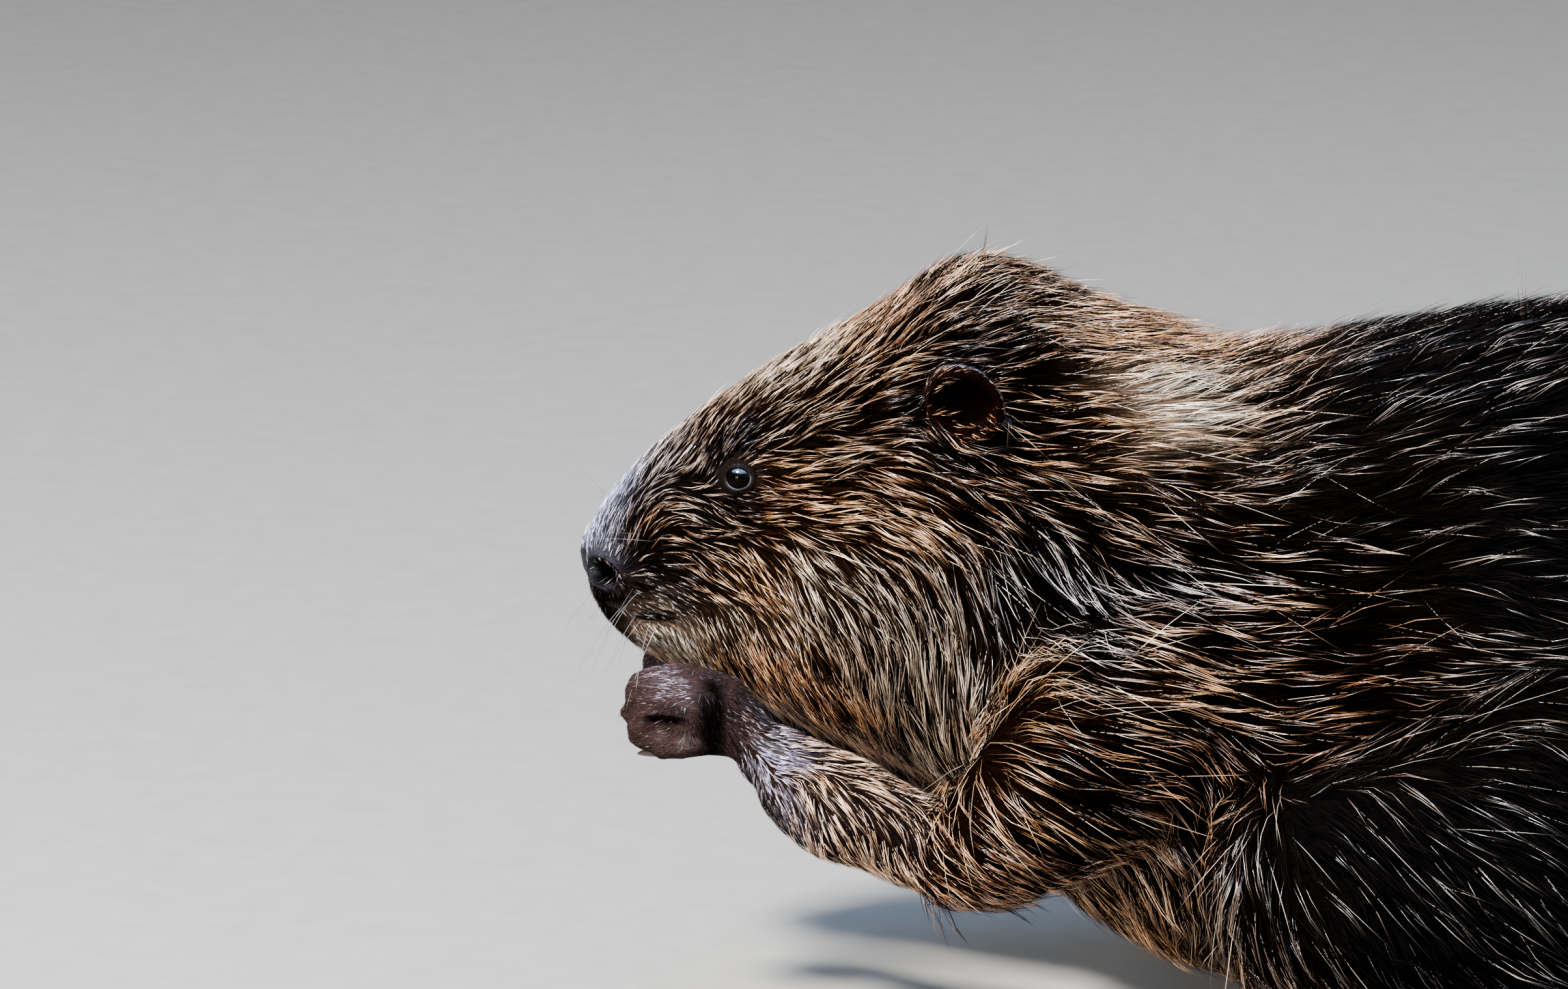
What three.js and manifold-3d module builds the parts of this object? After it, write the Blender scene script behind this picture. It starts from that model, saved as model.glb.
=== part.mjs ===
// A Eurasian beaver at life size, crouched on its haunches with its belly almost on the ground, its head
// raised at the crown and both forepaws held up to its mouth.
//
// Millimetres, +Z up, the floor at z = 0. The beaver faces -X, its left side is towards -Y, and the origin
// is on the floor under the middle of its length. The solids reach out to the tips of the coat.
// Lengths along the body are first measured from the tip of the nose, and the whole is moved at the end.
import * as THREE from "three";
import { mergeVertices } from "three/addons/utils/BufferGeometryUtils.js";
import Module from "manifold-3d";

const wasm = await Module();
wasm.setup();

// ---------------------------------------------------------------- driving sizes
const GAP = 0.35; // clearance between neighbouring solids
const NOSE_HEIGHT = 165; // tip of the nose above the floor
const CROWN_HEIGHT = 269;
const NAPE_HEIGHT = 237; // the dip between head and back
const BACK_HEIGHT = 260;
const BELLY_HEIGHT = 9;
const TRUNK_HALF_WIDTH = 118;
const HEAD_HALF_WIDTH = 64;
const TAIL_START = 690; // from the nose to the first scales
const TAIL_LENGTH = 238;
const TAIL_HALF_WIDTH = 61;
const TAIL_THICKNESS = 24;
const EYE_RADIUS = 6.3;
const EYE_PLACE = [55, 33.8, 194.7];
const EAR_PLACE = [131, 58, 225];
const EAR_RADIUS = 16.5;
const FOOT_LENGTH = 138; // heel to the end of the longest toe, without its claw
const BODY_SIDES = 20;
const LIMB_SIDES = 10;

// ---------------------------------------------------------------- colours
const finish = (color, roughness) => new THREE.MeshStandardMaterial({ color, roughness, metalness: 0 });
const coatBrown = finish(0x5b4230, 0.7);
const coatDark = finish(0x3e3128, 0.7);
const faceTan = finish(0x7a5c42, 0.7);
const pawBrown = finish(0x33251f, 0.6);
const noseBlack = finish(0x171311, 0.45);
const eyeDark = finish(0x0b0605, 0.08);
const clawHorn = finish(0x3a2c22, 0.35);
const tailScale = finish(0x2e2a28, 0.55);

// ---------------------------------------------------------------- solids from three.js geometry
function solidOf(geometry) {
  const bare = geometry.clone();
  bare.deleteAttribute("normal");
  bare.deleteAttribute("uv");
  const merged = mergeVertices(bare, 1e-4);
  const vertProperties = new Float32Array(merged.attributes.position.array);
  const triVerts = new Uint32Array(merged.index.array);
  return new wasm.Manifold(new wasm.Mesh({ numProp: 3, vertProperties, triVerts }));
}

function meshOf(name, solid, material) {
  const { vertProperties, triVerts } = solid.getMesh();
  const geometry = new THREE.BufferGeometry();
  geometry.setAttribute("position", new THREE.BufferAttribute(vertProperties, 3));
  geometry.setIndex(new THREE.BufferAttribute(triVerts, 1));
  geometry.computeVertexNormals();
  const mesh = new THREE.Mesh(geometry, material);
  mesh.name = name;
  return mesh;
}

// Rings of points, each with the same number of points, closed at both ends by a fan to a point.
function ringsToSolid(rings, firstPoint, lastPoint) {
  const sides = rings[0].length;
  const points = [...rings.flat(), firstPoint, lastPoint];
  const index = [];
  for (let r = 0; r + 1 < rings.length; r++)
    for (let s = 0; s < sides; s++) {
      const a = r * sides + s;
      const b = r * sides + ((s + 1) % sides);
      index.push(a, b, b + sides, a, b + sides, a + sides);
    }
  const first = rings.length * sides;
  const lastRing = first - sides;
  for (let s = 0; s < sides; s++) {
    const next = (s + 1) % sides;
    index.push(first, next, s, first + 1, lastRing + s, lastRing + next);
  }
  const geometry = new THREE.BufferGeometry().setFromPoints(points);
  geometry.setIndex(index);
  const made = solidOf(geometry);
  if (made.volume() > 0) return made;
  for (let i = 0; i < index.length; i += 3) [index[i], index[i + 1]] = [index[i + 1], index[i]];
  geometry.setIndex(index);
  return solidOf(geometry);
}

function ellipsoid([x, y, z], [halfX, halfY, halfZ], turn = [0, 0, 0], detail = 16) {
  const geometry = new THREE.SphereGeometry(1, detail, Math.round(detail * 0.6));
  geometry.rotateX(Math.PI / 2);
  geometry.scale(halfX, halfY, halfZ);
  geometry.rotateX(turn[0]).rotateY(turn[1]).rotateZ(turn[2]);
  geometry.translate(x, y, z);
  return solidOf(geometry);
}

// A box from its lowest and highest corner, turned about the Y axis through a pivot.
function block([x0, y0, z0], [x1, y1, z1], tilt = 0, pivot = [0, 0, 0]) {
  const geometry = new THREE.BoxGeometry(x1 - x0, y1 - y0, z1 - z0);
  geometry.translate((x0 + x1) / 2, (y0 + y1) / 2, (z0 + z1) / 2);
  geometry.rotateY(tilt);
  geometry.translate(...pivot);
  return solidOf(geometry);
}

// A limb, finger or toe: a bent tube through stations [x, y, z, halfAcross, halfDeep], with domed ends.
function limb(stations, { sides = LIMB_SIDES, steps = 2, dome = 1, domeTurns = [0.75], grow = 0 } = {}) {
  const curve = new THREE.CatmullRomCurve3(stations.map(([x, y, z]) => new THREE.Vector3(x, y, z)));
  const last = stations.length - 1;
  const sizeAt = (t, column) => {
    const place = t * last;
    const i = Math.min(last - 1, Math.floor(place));
    const share = place - i;
    const ease = share * share * (3 - 2 * share);
    return THREE.MathUtils.lerp(stations[i][column], stations[i + 1][column], ease) + grow;
  };
  const ring = (t, back, scale) => {
    const along = curve.getTangent(t);
    const centre = curve.getPoint(t).addScaledVector(along, back);
    const across = new THREE.Vector3(0, 1, 0).addScaledVector(along, -along.y).normalize();
    const deep = new THREE.Vector3().crossVectors(along, across);
    return Array.from({ length: sides }, (_, s) => {
      const turn = (s / sides) * 2 * Math.PI;
      return centre
        .clone()
        .addScaledVector(across, Math.cos(turn) * sizeAt(t, 3) * scale)
        .addScaledVector(deep, Math.sin(turn) * sizeAt(t, 4) * scale);
    });
  };
  const reach = (t) => dome * Math.min(sizeAt(t, 3), sizeAt(t, 4));
  const rings = [];
  for (const turn of domeTurns) rings.push(ring(0, -reach(0) * Math.cos(turn), Math.sin(turn)));
  for (let i = 0; i <= last * steps; i++) rings.push(ring(i / (last * steps), 0, 1));
  for (const turn of domeTurns.toReversed()) rings.push(ring(1, reach(1) * Math.cos(turn), Math.sin(turn)));
  const tip = (t, sign) => curve.getPoint(t).addScaledVector(curve.getTangent(t), sign * reach(t));
  return ringsToSolid(rings, tip(0, -1), tip(1, 1));
}

const union = (solids) => solids.reduce((whole, solid) => whole.add(solid));
const ABOVE_FLOOR = block([-100, -300, 0], [1100, 300, 400]);
const mirrored = ([x, y, z, ...rest], side) => [x, y * side, z, ...rest];

// ---------------------------------------------------------------- head, neck and trunk in one skin
// Upright sections along the body: distance from the nose, top, bottom, half width, height of the widest
// point, and how square the section is (2 is an ellipse).
const SECTIONS = [
  [0.6, NOSE_HEIGHT + 4, 151, 12, 160, 2.2],
  [4, 175, 143, 20, 158, 2.3],
  [10, 184, 135, 25.5, 157, 2.4],
  [20, 195, 127, 29, 155, 2.4],
  [36, 209, 119, 33, 160, 2.3],
  [56, 223, 109, 41, 175, 2.2],
  [80, 238, 99, 53, 172, 2.1],
  [105, 252, 89, HEAD_HALF_WIDTH - 3, 174, 2.1],
  [132, CROWN_HEIGHT, 73, HEAD_HALF_WIDTH, 168, 2.1],
  [150, CROWN_HEIGHT - 2, 53, HEAD_HALF_WIDTH + 2, 152, 2.15],
  [176, 255, 32, 72, 130, 2.25],
  [202, 245, 18, 80, 116, 2.3],
  [226, NAPE_HEIGHT, 11, 87, 108, 2.3],
  [262, 242, BELLY_HEIGHT, 96, 104, 2.3],
  [305, 248, BELLY_HEIGHT, 105, 102, 2.25],
  [355, 254, BELLY_HEIGHT, 113, 101, 2.2],
  [415, BACK_HEIGHT, BELLY_HEIGHT, TRUNK_HALF_WIDTH, 98, 2.2],
  [470, 257, BELLY_HEIGHT, TRUNK_HALF_WIDTH - 1, 94, 2.2],
  [520, 241, BELLY_HEIGHT, 110, 86, 2.2],
  [562, 214, BELLY_HEIGHT, 96, 76, 2.2],
  [600, 172, BELLY_HEIGHT, 78, 62, 2.15],
  [632, 117, 9, 57, 46, 2.1],
  [656, 70, 9, 39, 34, 2],
];

// Muscles and hollows that swell or sink the skin round a point: place, spread and lift. Each is on both sides.
const FORMS = [
  { form: "nose_bridge", at: [12, 0, 184], spread: 9, lift: -1.5 },
  { form: "whisker_pad", at: [19, 27, 146], spread: 12, lift: 4.5 },
  { form: "behind_pad", at: [38, 33, 158], spread: 10, lift: -3 },
  { form: "eye_hollow", at: [54, 39, 193], spread: 10, lift: -2.5 },
  { form: "brow", at: [58, 33, 209], spread: 9, lift: 3 },
  { form: "cheekbone", at: [78, 50, 176], spread: 18, lift: 3 },
  { form: "jaw_muscle", at: [92, 52, 140], spread: 24, lift: 6 },
  { form: "temple", at: [100, 42, 228], spread: 16, lift: -3 },
  { form: "ear_hollow", at: [128, 60, 218], spread: 17, lift: -4 },
  { form: "chin", at: [16, 0, 126], spread: 9, lift: 2 },
  { form: "throat", at: [96, 0, 92], spread: 26, lift: 4 },
  { form: "neck_fold", at: [142, 66, 140], spread: 20, lift: -5 },
  { form: "shoulder", at: [212, 78, 152], spread: 44, lift: 9 },
  { form: "flank_hollow", at: [268, 98, 150], spread: 34, lift: -5 },
  { form: "haunch", at: [440, 108, 120], spread: 60, lift: 8 },
];

// One column of the sections at a distance along the body, on a smooth monotone curve.
function sectionColumn(distance, column) {
  const last = SECTIONS.length - 1;
  let i = 0;
  while (i < last - 1 && SECTIONS[i + 1][0] < distance) i++;
  const slope = (k) => {
    const before = SECTIONS[Math.max(0, k - 1)];
    const after = SECTIONS[Math.min(last, k + 1)];
    return (after[column] - before[column]) / (after[0] - before[0]);
  };
  const [from, to] = [SECTIONS[i], SECTIONS[i + 1]];
  const width = to[0] - from[0];
  const t = THREE.MathUtils.clamp((distance - from[0]) / width, 0, 1);
  const [t2, t3] = [t * t, t * t * t];
  const ends = (2 * t3 - 3 * t2 + 1) * from[column] + (3 * t2 - 2 * t3) * to[column];
  return ends + width * ((t3 - 2 * t2 + t) * slope(i) + (t3 - t2) * slope(i + 1));
}

function bodySkin(grow = 0) {
  const distances = [0.6, 3.5, 8, 14, 21, 29, 37, 45, 53, 61, 70, 80, 92, 106, 121];
  for (let x = 136; x < 240; x += 14) distances.push(x);
  for (let x = 250; x < 500; x += 26) distances.push(x);
  for (let x = 508; x < 650; x += 22) distances.push(x);
  distances.push(656);
  const rings = distances.map((distance) => {
    const [top, bottom, halfWidth, widest, square] = [1, 2, 3, 4, 5].map((c) => sectionColumn(distance, c));
    return Array.from({ length: BODY_SIDES }, (_, s) => {
      const turn = (s / BODY_SIDES) * 2 * Math.PI;
      const [across, up] = [Math.cos(turn), Math.sin(turn)];
      const bend = (v) => Math.sign(v) * Math.abs(v) ** (2 / square);
      const rise = up > 0 ? top - widest + grow : widest - bottom + grow;
      const point = new THREE.Vector3(distance, bend(across) * (halfWidth + grow), widest + bend(up) * rise);
      const outward = new THREE.Vector3(0, across / halfWidth, up / rise).normalize();
      let lift = 0;
      for (const { at, spread, lift: height } of FORMS)
        for (const side of at[1] ? [-1, 1] : [1]) {
          const away = point.distanceTo(new THREE.Vector3(...mirrored(at, side)));
          lift += height * Math.exp(-((away / spread) ** 2));
        }
      return point.addScaledVector(outward, lift);
    });
  });
  const end = (distance, x) =>
    new THREE.Vector3(x, 0, (sectionColumn(distance, 1) + sectionColumn(distance, 2)) / 2);
  return ringsToSolid(rings, end(0.6, -0.4 - grow), end(656, 660 + grow));
}

const wholeBody = bodySkin();
const grownBody = bodySkin(GAP);

// Slanting cuts part the body: each is the foot of a plane on the underside and how far it leans back.
const FAR = 500;
const cutBehind = (x, lean) => block([0, -FAR, -FAR], [1000, FAR, FAR], lean, [x, 0, 0]);
const cutBefore = (x, lean) => block([-1000, -FAR, -FAR], [0, FAR, FAR], lean, [x, 0, 0]);
const HEAD_CUT = { x: 84, lean: 0.25 };
const NECK_CUT = { x: 142, lean: 0.33 };
const CHEST_CUT = { x: 330, lean: 0 };
const LOIN_CUT = { x: 480, lean: 0 };
const between = (from, to) => {
  let piece = wholeBody;
  if (from) piece = piece.intersect(cutBehind(from.x + GAP, from.lean));
  if (to) piece = piece.intersect(cutBefore(to.x, to.lean));
  return piece;
};

// ---------------------------------------------------------------- nose pad, nostrils, jaw and eyes
const NOSE_PLACE = [6.5, 0, 158];
const noseShape = (grow) =>
  union([
    ellipsoid(NOSE_PLACE, [8.5 + grow, 14 + grow, 12.5 + grow], [0, -0.35, 0], 10),
    ...[-1, 1].map((side) => ellipsoid([8.5, 12.5 * side, 159.5], [7.5 + grow, 8.5 + grow, 8.2 + grow], [0, 0, 0], 8)),
  ]);
const nostrils = [-1, 1].map((side) => ellipsoid([6, 19.5 * side, 158.5], [5.2, 5.5, 2.7], [0, 0.25, 0.5 * side], 8));
const nose = union([noseShape(0)]).subtract(union(nostrils));

// The mouth slopes down and back under the whisker pads. Below it the lower jaw is a piece of its own.
const MOUTH_FRONT = [0, 0, 140];
const MOUTH_SLOPE = 0.34;
const JAW_LENGTH = 58;
const belowMouth = (drop) =>
  block([-20, -FAR, -200], [JAW_LENGTH - drop, FAR, -drop], MOUTH_SLOPE, MOUTH_FRONT);

const eyeballs = [-1, 1].map((side) => ellipsoid(mirrored(EYE_PLACE, side), Array(3).fill(EYE_RADIUS), [0, 0, 0], 10));
const sockets = [-1, 1].map((side) =>
  ellipsoid(mirrored(EYE_PLACE, side), Array(3).fill(EYE_RADIUS + GAP), [0, 0, 0], 10),
);

// An ear is a round shell, hollow on its outer and front side, set a little back and leaning out.
function earSolid(side) {
  const [x, y, z] = mirrored(EAR_PLACE, side);
  const turn = [-0.38 * side, -0.3, 0.42 * side];
  const shell = ellipsoid([x, y, z], [EAR_RADIUS - 1, 6.5, EAR_RADIUS], turn, 12);
  const outward = new THREE.Vector3(0, side, 0).applyEuler(new THREE.Euler(...turn, "ZYX"));
  const bowl = outward.clone().multiplyScalar(5.2);
  const hollow = ellipsoid([x + bowl.x, y + bowl.y, z + bowl.z], [EAR_RADIUS - 4, 6.6, EAR_RADIUS - 3.4], turn, 10);
  return shell.subtract(hollow).subtract(grownBody);
}

// ---------------------------------------------------------------- forelegs
// The left paw is held a little higher and farther forward than the right one.
const ARM_POSES = {
  left: { side: -1, reach: [0, 0, 0] },
  right: { side: 1, reach: [5, -2, -4] },
};

const moved = ([x, y, z, ...sizes], reach, share) => [
  x + reach[0] * share,
  y + reach[1] * share,
  z + reach[2] * share,
  ...sizes,
];

const UPPER_ARM = [
  [214, 58, 142, 34, 40],
  [176, 72, 108, 31, 42],
  [138, 77, 76, 25, 29],
  [128, 76, 70, 21, 22],
];
const FOREARM = [
  [122, 74, 71, 16, 17],
  [94, 63, 84, 16, 18.5],
  [62, 46, 101, 11.5, 12],
];
const PALM = [
  [61, 45.5, 103, 9, 9.5],
  [48, 42.5, 113, 12.5, 15],
  [35, 39, 118, 12.5, 13.5],
  [24, 36, 118.5, 10.5, 10.5],
];
const PALM_HEEL = [
  [53, 44, 104, 8, 7],
  [36, 42.5, 104.5, 8, 6.5],
];

// Fingers: the knuckle, the middle joint, the tip, and the thickness. They curl down and in round a twig.
const FINGERS = [
  { finger: "thumb", joints: [[49, 32, 108], [40, 27, 104], [34, 26, 106]], half: 3.8 },
  { finger: "index", joints: [[30, 30, 119], [20, 25, 112], [25, 21.5, 103]], half: 4.3 },
  { finger: "middle", joints: [[27, 36.5, 120], [16, 32.5, 111], [22.5, 27.8, 101.5]], half: 4.7 },
  { finger: "ring", joints: [[28, 44, 117], [18, 41, 108], [25.5, 35, 100.5]], half: 4.5 },
  { finger: "little", joints: [[47, 48, 104], [34, 47.5, 102], [26, 41.5, 99.5]], half: 5 },
];

// A claw: a curved cone that leaves a fingertip or toe along the last bone.
function claw(from, tip, length, half, drop) {
  const along = new THREE.Vector3(...tip).sub(new THREE.Vector3(...from)).normalize();
  const at = (share, sink) =>
    new THREE.Vector3(...tip)
      .addScaledVector(along, length * share)
      .add(new THREE.Vector3(0, 0, -sink))
      .toArray();
  const stations = [
    [...at(-0.15, 0), half, half],
    [...at(0.4, drop * 0.25), half * 0.8, half * 0.8],
    [...at(1, drop), half * 0.24, half * 0.24],
  ];
  return limb(stations, { sides: 6, steps: 1, dome: 0.6, domeTurns: [] });
}

const pieces = [];
const keep = (name, solid, material) => pieces.push(meshOf(name, solid, material));

for (const [word, { side, reach }] of Object.entries(ARM_POSES)) {
  const posed = (stations, share) => stations.map((station) => mirrored(moved(station, reach, share), side));
  const upperArmStations = posed(UPPER_ARM, 0);
  const forearmStations = posed(FOREARM, 0).map((station, i) => moved(station, mirrored(reach, side), i / 2));
  const palmStations = posed(PALM, 1);
  const upperArm = limb(upperArmStations, { sides: 12 });
  const grownUpperArm = limb(upperArmStations, { sides: 12, grow: GAP });
  const forearm = limb(forearmStations, { steps: 2 });
  const grownForearm = limb(forearmStations, { steps: 2, grow: GAP });
  const fingers = FINGERS.map(({ joints, half }) => {
    const [knuckle, middle, tip] = posed(joints, 1);
    return { knuckle, middle, tip, half };
  });
  const claws = fingers.map(({ middle, tip, half }) => claw(middle, tip, 9, half * 0.5, 0));
  const fingerSolids = fingers.map(({ knuckle, middle, tip, half }) => {
    const stations = [[...knuckle, half, half], [...middle, half, half], [...tip, half * 0.8, half * 0.8]];
    return limb(stations, { sides: 6, steps: 1, domeTurns: [] });
  });
  const palm = [palmStations, posed(PALM_HEEL, 1)].map((stations) => limb(stations, { sides: 8, steps: 1 }));
  const clawBeds = fingers.map(({ middle, tip, half }) => claw(middle, tip, 9.2, half * 0.5 + GAP, 0));
  const paw = union([...palm, ...fingerSolids]).subtract(union(clawBeds));
  keep(`upper_arm_${word}`, upperArm.subtract(grownBody), coatBrown);
  keep(`forearm_${word}`, forearm.subtract(grownUpperArm).subtract(grownBody), pawBrown);
  keep(`forepaw_${word}`, paw.subtract(grownForearm), pawBrown);
  claws.forEach((solid, i) => keep(`claw_${FINGERS[i].finger}_${word}`, solid.subtract(grownBody), clawHorn));
}

// ---------------------------------------------------------------- hind legs
const THIGH = [
  [424, 82, 108, 46, 84],
  [350, 89, 90, 43, 70],
  [286, 93, 70, 38, 52],
  [245, 94, 62, 34, 46],
];
const SHANK = [
  [286, 91, 42, 20, 22],
  [326, 88, 34, 17, 19],
  [360, 84, 24, 14, 15],
];
const HEEL = [362, 84, 15];
const FOOT_SPLAY = 0.16; // outward turn of each foot
const TOES = [
  { toe: "inner", fan: -0.24, reach: 0.74, half: 5.2 },
  { toe: "second", fan: -0.11, reach: 0.9, half: 5.8 },
  { toe: "middle", fan: 0.01, reach: 1, half: 6.6 },
  { toe: "fourth", fan: 0.13, reach: 0.98, half: 6.4 },
  { toe: "outer", fan: 0.26, reach: 0.86, half: 5.6 },
];
const WEB_THICKNESS = 4;

function footPoint(side, distance, fan, height) {
  const turn = FOOT_SPLAY + fan;
  return [HEEL[0] - distance * Math.cos(turn), (HEEL[1] + distance * Math.sin(turn)) * side, height];
}

// The web is a flat fan between the toes, a little short of their ends.
function webSolid(side) {
  const fan = new THREE.Shape();
  const rim = TOES.map(({ fan: turn, reach }) => footPoint(side, FOOT_LENGTH * reach * 0.93, turn, 0));
  const root = [footPoint(side, 34, 0.3, 0), footPoint(side, 34, -0.3, 0)];
  fan.moveTo(rim[0][0], rim[0][1]);
  for (let i = 1; i < rim.length; i++) {
    const middle = footPoint(side, FOOT_LENGTH * 0.8, (TOES[i].fan + TOES[i - 1].fan) / 2, 0);
    fan.quadraticCurveTo(middle[0], middle[1], rim[i][0], rim[i][1]);
  }
  for (const [x, y] of root) fan.lineTo(x, y);
  fan.closePath();
  return solidOf(new THREE.ExtrudeGeometry(fan, { depth: WEB_THICKNESS, bevelEnabled: false, curveSegments: 1 }));
}

function toeClaw(side, { fan, reach, half }, grow) {
  const length = FOOT_LENGTH * reach;
  const [from, tip] = [length - 20, length - 1].map((distance) => footPoint(side, distance, fan, 6));
  return claw(from, tip, 14 + grow, half * 0.55 + grow, 3);
}

for (const [word, side] of [["left", -1], ["right", 1]]) {
  const stations = (rows) => rows.map((row) => mirrored(row, side));
  const thigh = limb(stations(THIGH), { sides: 12, steps: 2 });
  const grownThigh = limb(stations(THIGH), { sides: 12, steps: 2, grow: GAP });
  const shank = limb(stations(SHANK));
  const grownShank = limb(stations(SHANK), { grow: GAP });
  const toes = TOES.map(({ fan, reach, half }) => {
    const length = FOOT_LENGTH * reach;
    const toe = limb(
      [
        [...footPoint(side, 34, fan * 0.8, 12), half + 2, 9],
        [...footPoint(side, length * 0.76, fan, 9), half, 7.5],
        [...footPoint(side, length - half, fan, 4.5), half * 0.9, 5],
      ],
      { sides: 6, steps: 1, domeTurns: [] },
    );
    return toe.subtract(toeClaw(side, { fan, reach, half }, GAP));
  });
  const metatarsus = limb([
    [...footPoint(side, 0, 0, 15), 15, 15],
    [...footPoint(side, 34, 0, 14), 18, 13.5],
    [...footPoint(side, 68, 0, 10), 21, 9],
  ], { sides: 8, steps: 1 });
  const claws = TOES.map((toe) => toeClaw(side, toe, 0));
  const foot = union([metatarsus, webSolid(side), ...toes]).intersect(ABOVE_FLOOR);
  keep(`thigh_${word}`, thigh.subtract(grownBody).intersect(ABOVE_FLOOR), coatDark);
  keep(`shank_${word}`, shank.subtract(grownBody).subtract(grownThigh).intersect(ABOVE_FLOOR), coatDark);
  const clearOfLeg = union([grownShank, grownThigh]);
  keep(`hindfoot_${word}`, foot.subtract(grownBody).subtract(clearOfLeg), pawBrown);
  claws.forEach((solid, i) => keep(`claw_${TOES[i].toe}_toe_${word}`, solid.intersect(ABOVE_FLOOR), clawHorn));
}

// ---------------------------------------------------------------- head pieces
const front = between(null, HEAD_CUT).subtract(noseShape(GAP)).subtract(union(sockets));
keep("head", front.subtract(belowMouth(0)), faceTan);
keep("lower_jaw", front.intersect(belowMouth(GAP)), faceTan);
keep("nose", nose, noseBlack);
[["left", -1], ["right", 1]].forEach(([word, side], i) => {
  keep(`eye_${word}`, eyeballs[i], eyeDark);
  keep(`ear_${word}`, earSolid(side), pawBrown);
});
keep("neck", between(HEAD_CUT, NECK_CUT), coatBrown);
keep("chest", between(NECK_CUT, CHEST_CUT), coatBrown);
keep("loin", between(CHEST_CUT, LOIN_CUT), coatDark);

// ---------------------------------------------------------------- tail
const TAIL_ROOT = [
  [628, 0, 42, 44, 32],
  [660, 0, 31, 35, 25],
  [TAIL_START, 0, 18, 27, 16],
];
const tailRoot = limb(TAIL_ROOT, { sides: 16, steps: 2, dome: 0.4 });
const grownTailRoot = limb(TAIL_ROOT, { sides: 16, steps: 2, dome: 0.4, grow: GAP });

// The paddle: flat below, gently domed above with a low ridge along the middle.
function paddle() {
  const steps = 10;
  const sides = 16;
  const rings = Array.from({ length: steps + 1 }, (_, i) => {
    const along = Math.sin((i / steps) * Math.PI / 2);
    const widen = THREE.MathUtils.smoothstep(along, -0.12, 0.5);
    const round = Math.sqrt(Math.max(0, 1 - THREE.MathUtils.clamp((along - 0.55) / 0.452, 0, 1) ** 2.6));
    const halfWidth = THREE.MathUtils.lerp(25, TAIL_HALF_WIDTH, widen) * Math.max(round, 0.06);
    const thick = THREE.MathUtils.lerp(TAIL_THICKNESS, 7.5, along ** 0.75);
    return Array.from({ length: sides }, (_, s) => {
      const turn = (s / sides) * 2 * Math.PI;
      const across = Math.cos(turn);
      const ridge = 1.6 * Math.exp(-((across / 0.12) ** 2));
      const top = 2.5 + (thick - 2.5) * Math.sqrt(Math.abs(Math.sin(turn))) + ridge;
      const z = turn <= Math.PI ? top : Math.max(0, 1.6 - 2.5 * Math.abs(Math.sin(turn)) ** 0.4);
      return new THREE.Vector3(TAIL_START - 14 + (TAIL_LENGTH + 14) * along, halfWidth * across, z);
    });
  });
  const tip = new THREE.Vector3(TAIL_START + TAIL_LENGTH + 1.5, 0, 3.5);
  const root = new THREE.Vector3(TAIL_START - 14.5, 0, 10);
  return ringsToSolid(rings, root, tip);
}

keep("rump", between(LOIN_CUT, null).subtract(grownTailRoot), coatDark);
keep("tail_root", tailRoot.intersect(ABOVE_FLOOR), coatDark);
keep("tail", paddle().subtract(grownTailRoot).intersect(ABOVE_FLOOR), tailScale);

// ---------------------------------------------------------------- the whole animal, centred on its length
const beaver = new THREE.Group();
beaver.name = "beaver";
for (const piece of pieces) beaver.add(piece);
const box = new THREE.Box3().setFromObject(beaver);
beaver.position.set(-(box.min.x + box.max.x) / 2, 0, -box.min.z);

export default beaver;
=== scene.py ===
import math
import bpy
import numpy as np
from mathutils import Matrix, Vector, noise
from mathutils.bvhtree import BVHTree
from mathutils.kdtree import KDTree


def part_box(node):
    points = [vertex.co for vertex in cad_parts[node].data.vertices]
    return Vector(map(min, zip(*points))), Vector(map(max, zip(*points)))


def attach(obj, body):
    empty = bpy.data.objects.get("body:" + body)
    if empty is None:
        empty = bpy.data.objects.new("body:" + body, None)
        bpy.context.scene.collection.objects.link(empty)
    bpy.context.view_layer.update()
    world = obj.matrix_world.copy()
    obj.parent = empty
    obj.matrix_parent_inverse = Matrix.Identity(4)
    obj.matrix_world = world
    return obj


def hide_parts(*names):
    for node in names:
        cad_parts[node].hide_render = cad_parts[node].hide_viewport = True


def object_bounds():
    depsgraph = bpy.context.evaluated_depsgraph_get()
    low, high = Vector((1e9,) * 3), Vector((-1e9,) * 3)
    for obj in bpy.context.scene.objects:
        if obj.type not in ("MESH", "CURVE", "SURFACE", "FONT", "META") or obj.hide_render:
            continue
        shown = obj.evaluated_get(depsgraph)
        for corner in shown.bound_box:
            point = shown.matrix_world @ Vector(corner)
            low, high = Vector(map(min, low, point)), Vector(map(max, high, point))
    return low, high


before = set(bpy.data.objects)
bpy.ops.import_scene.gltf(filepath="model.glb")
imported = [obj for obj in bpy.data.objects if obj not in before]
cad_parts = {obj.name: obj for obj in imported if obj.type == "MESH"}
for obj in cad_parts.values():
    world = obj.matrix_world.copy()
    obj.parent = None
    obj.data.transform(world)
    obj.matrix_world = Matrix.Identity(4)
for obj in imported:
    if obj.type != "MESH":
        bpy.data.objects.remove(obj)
cad_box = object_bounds()

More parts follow.
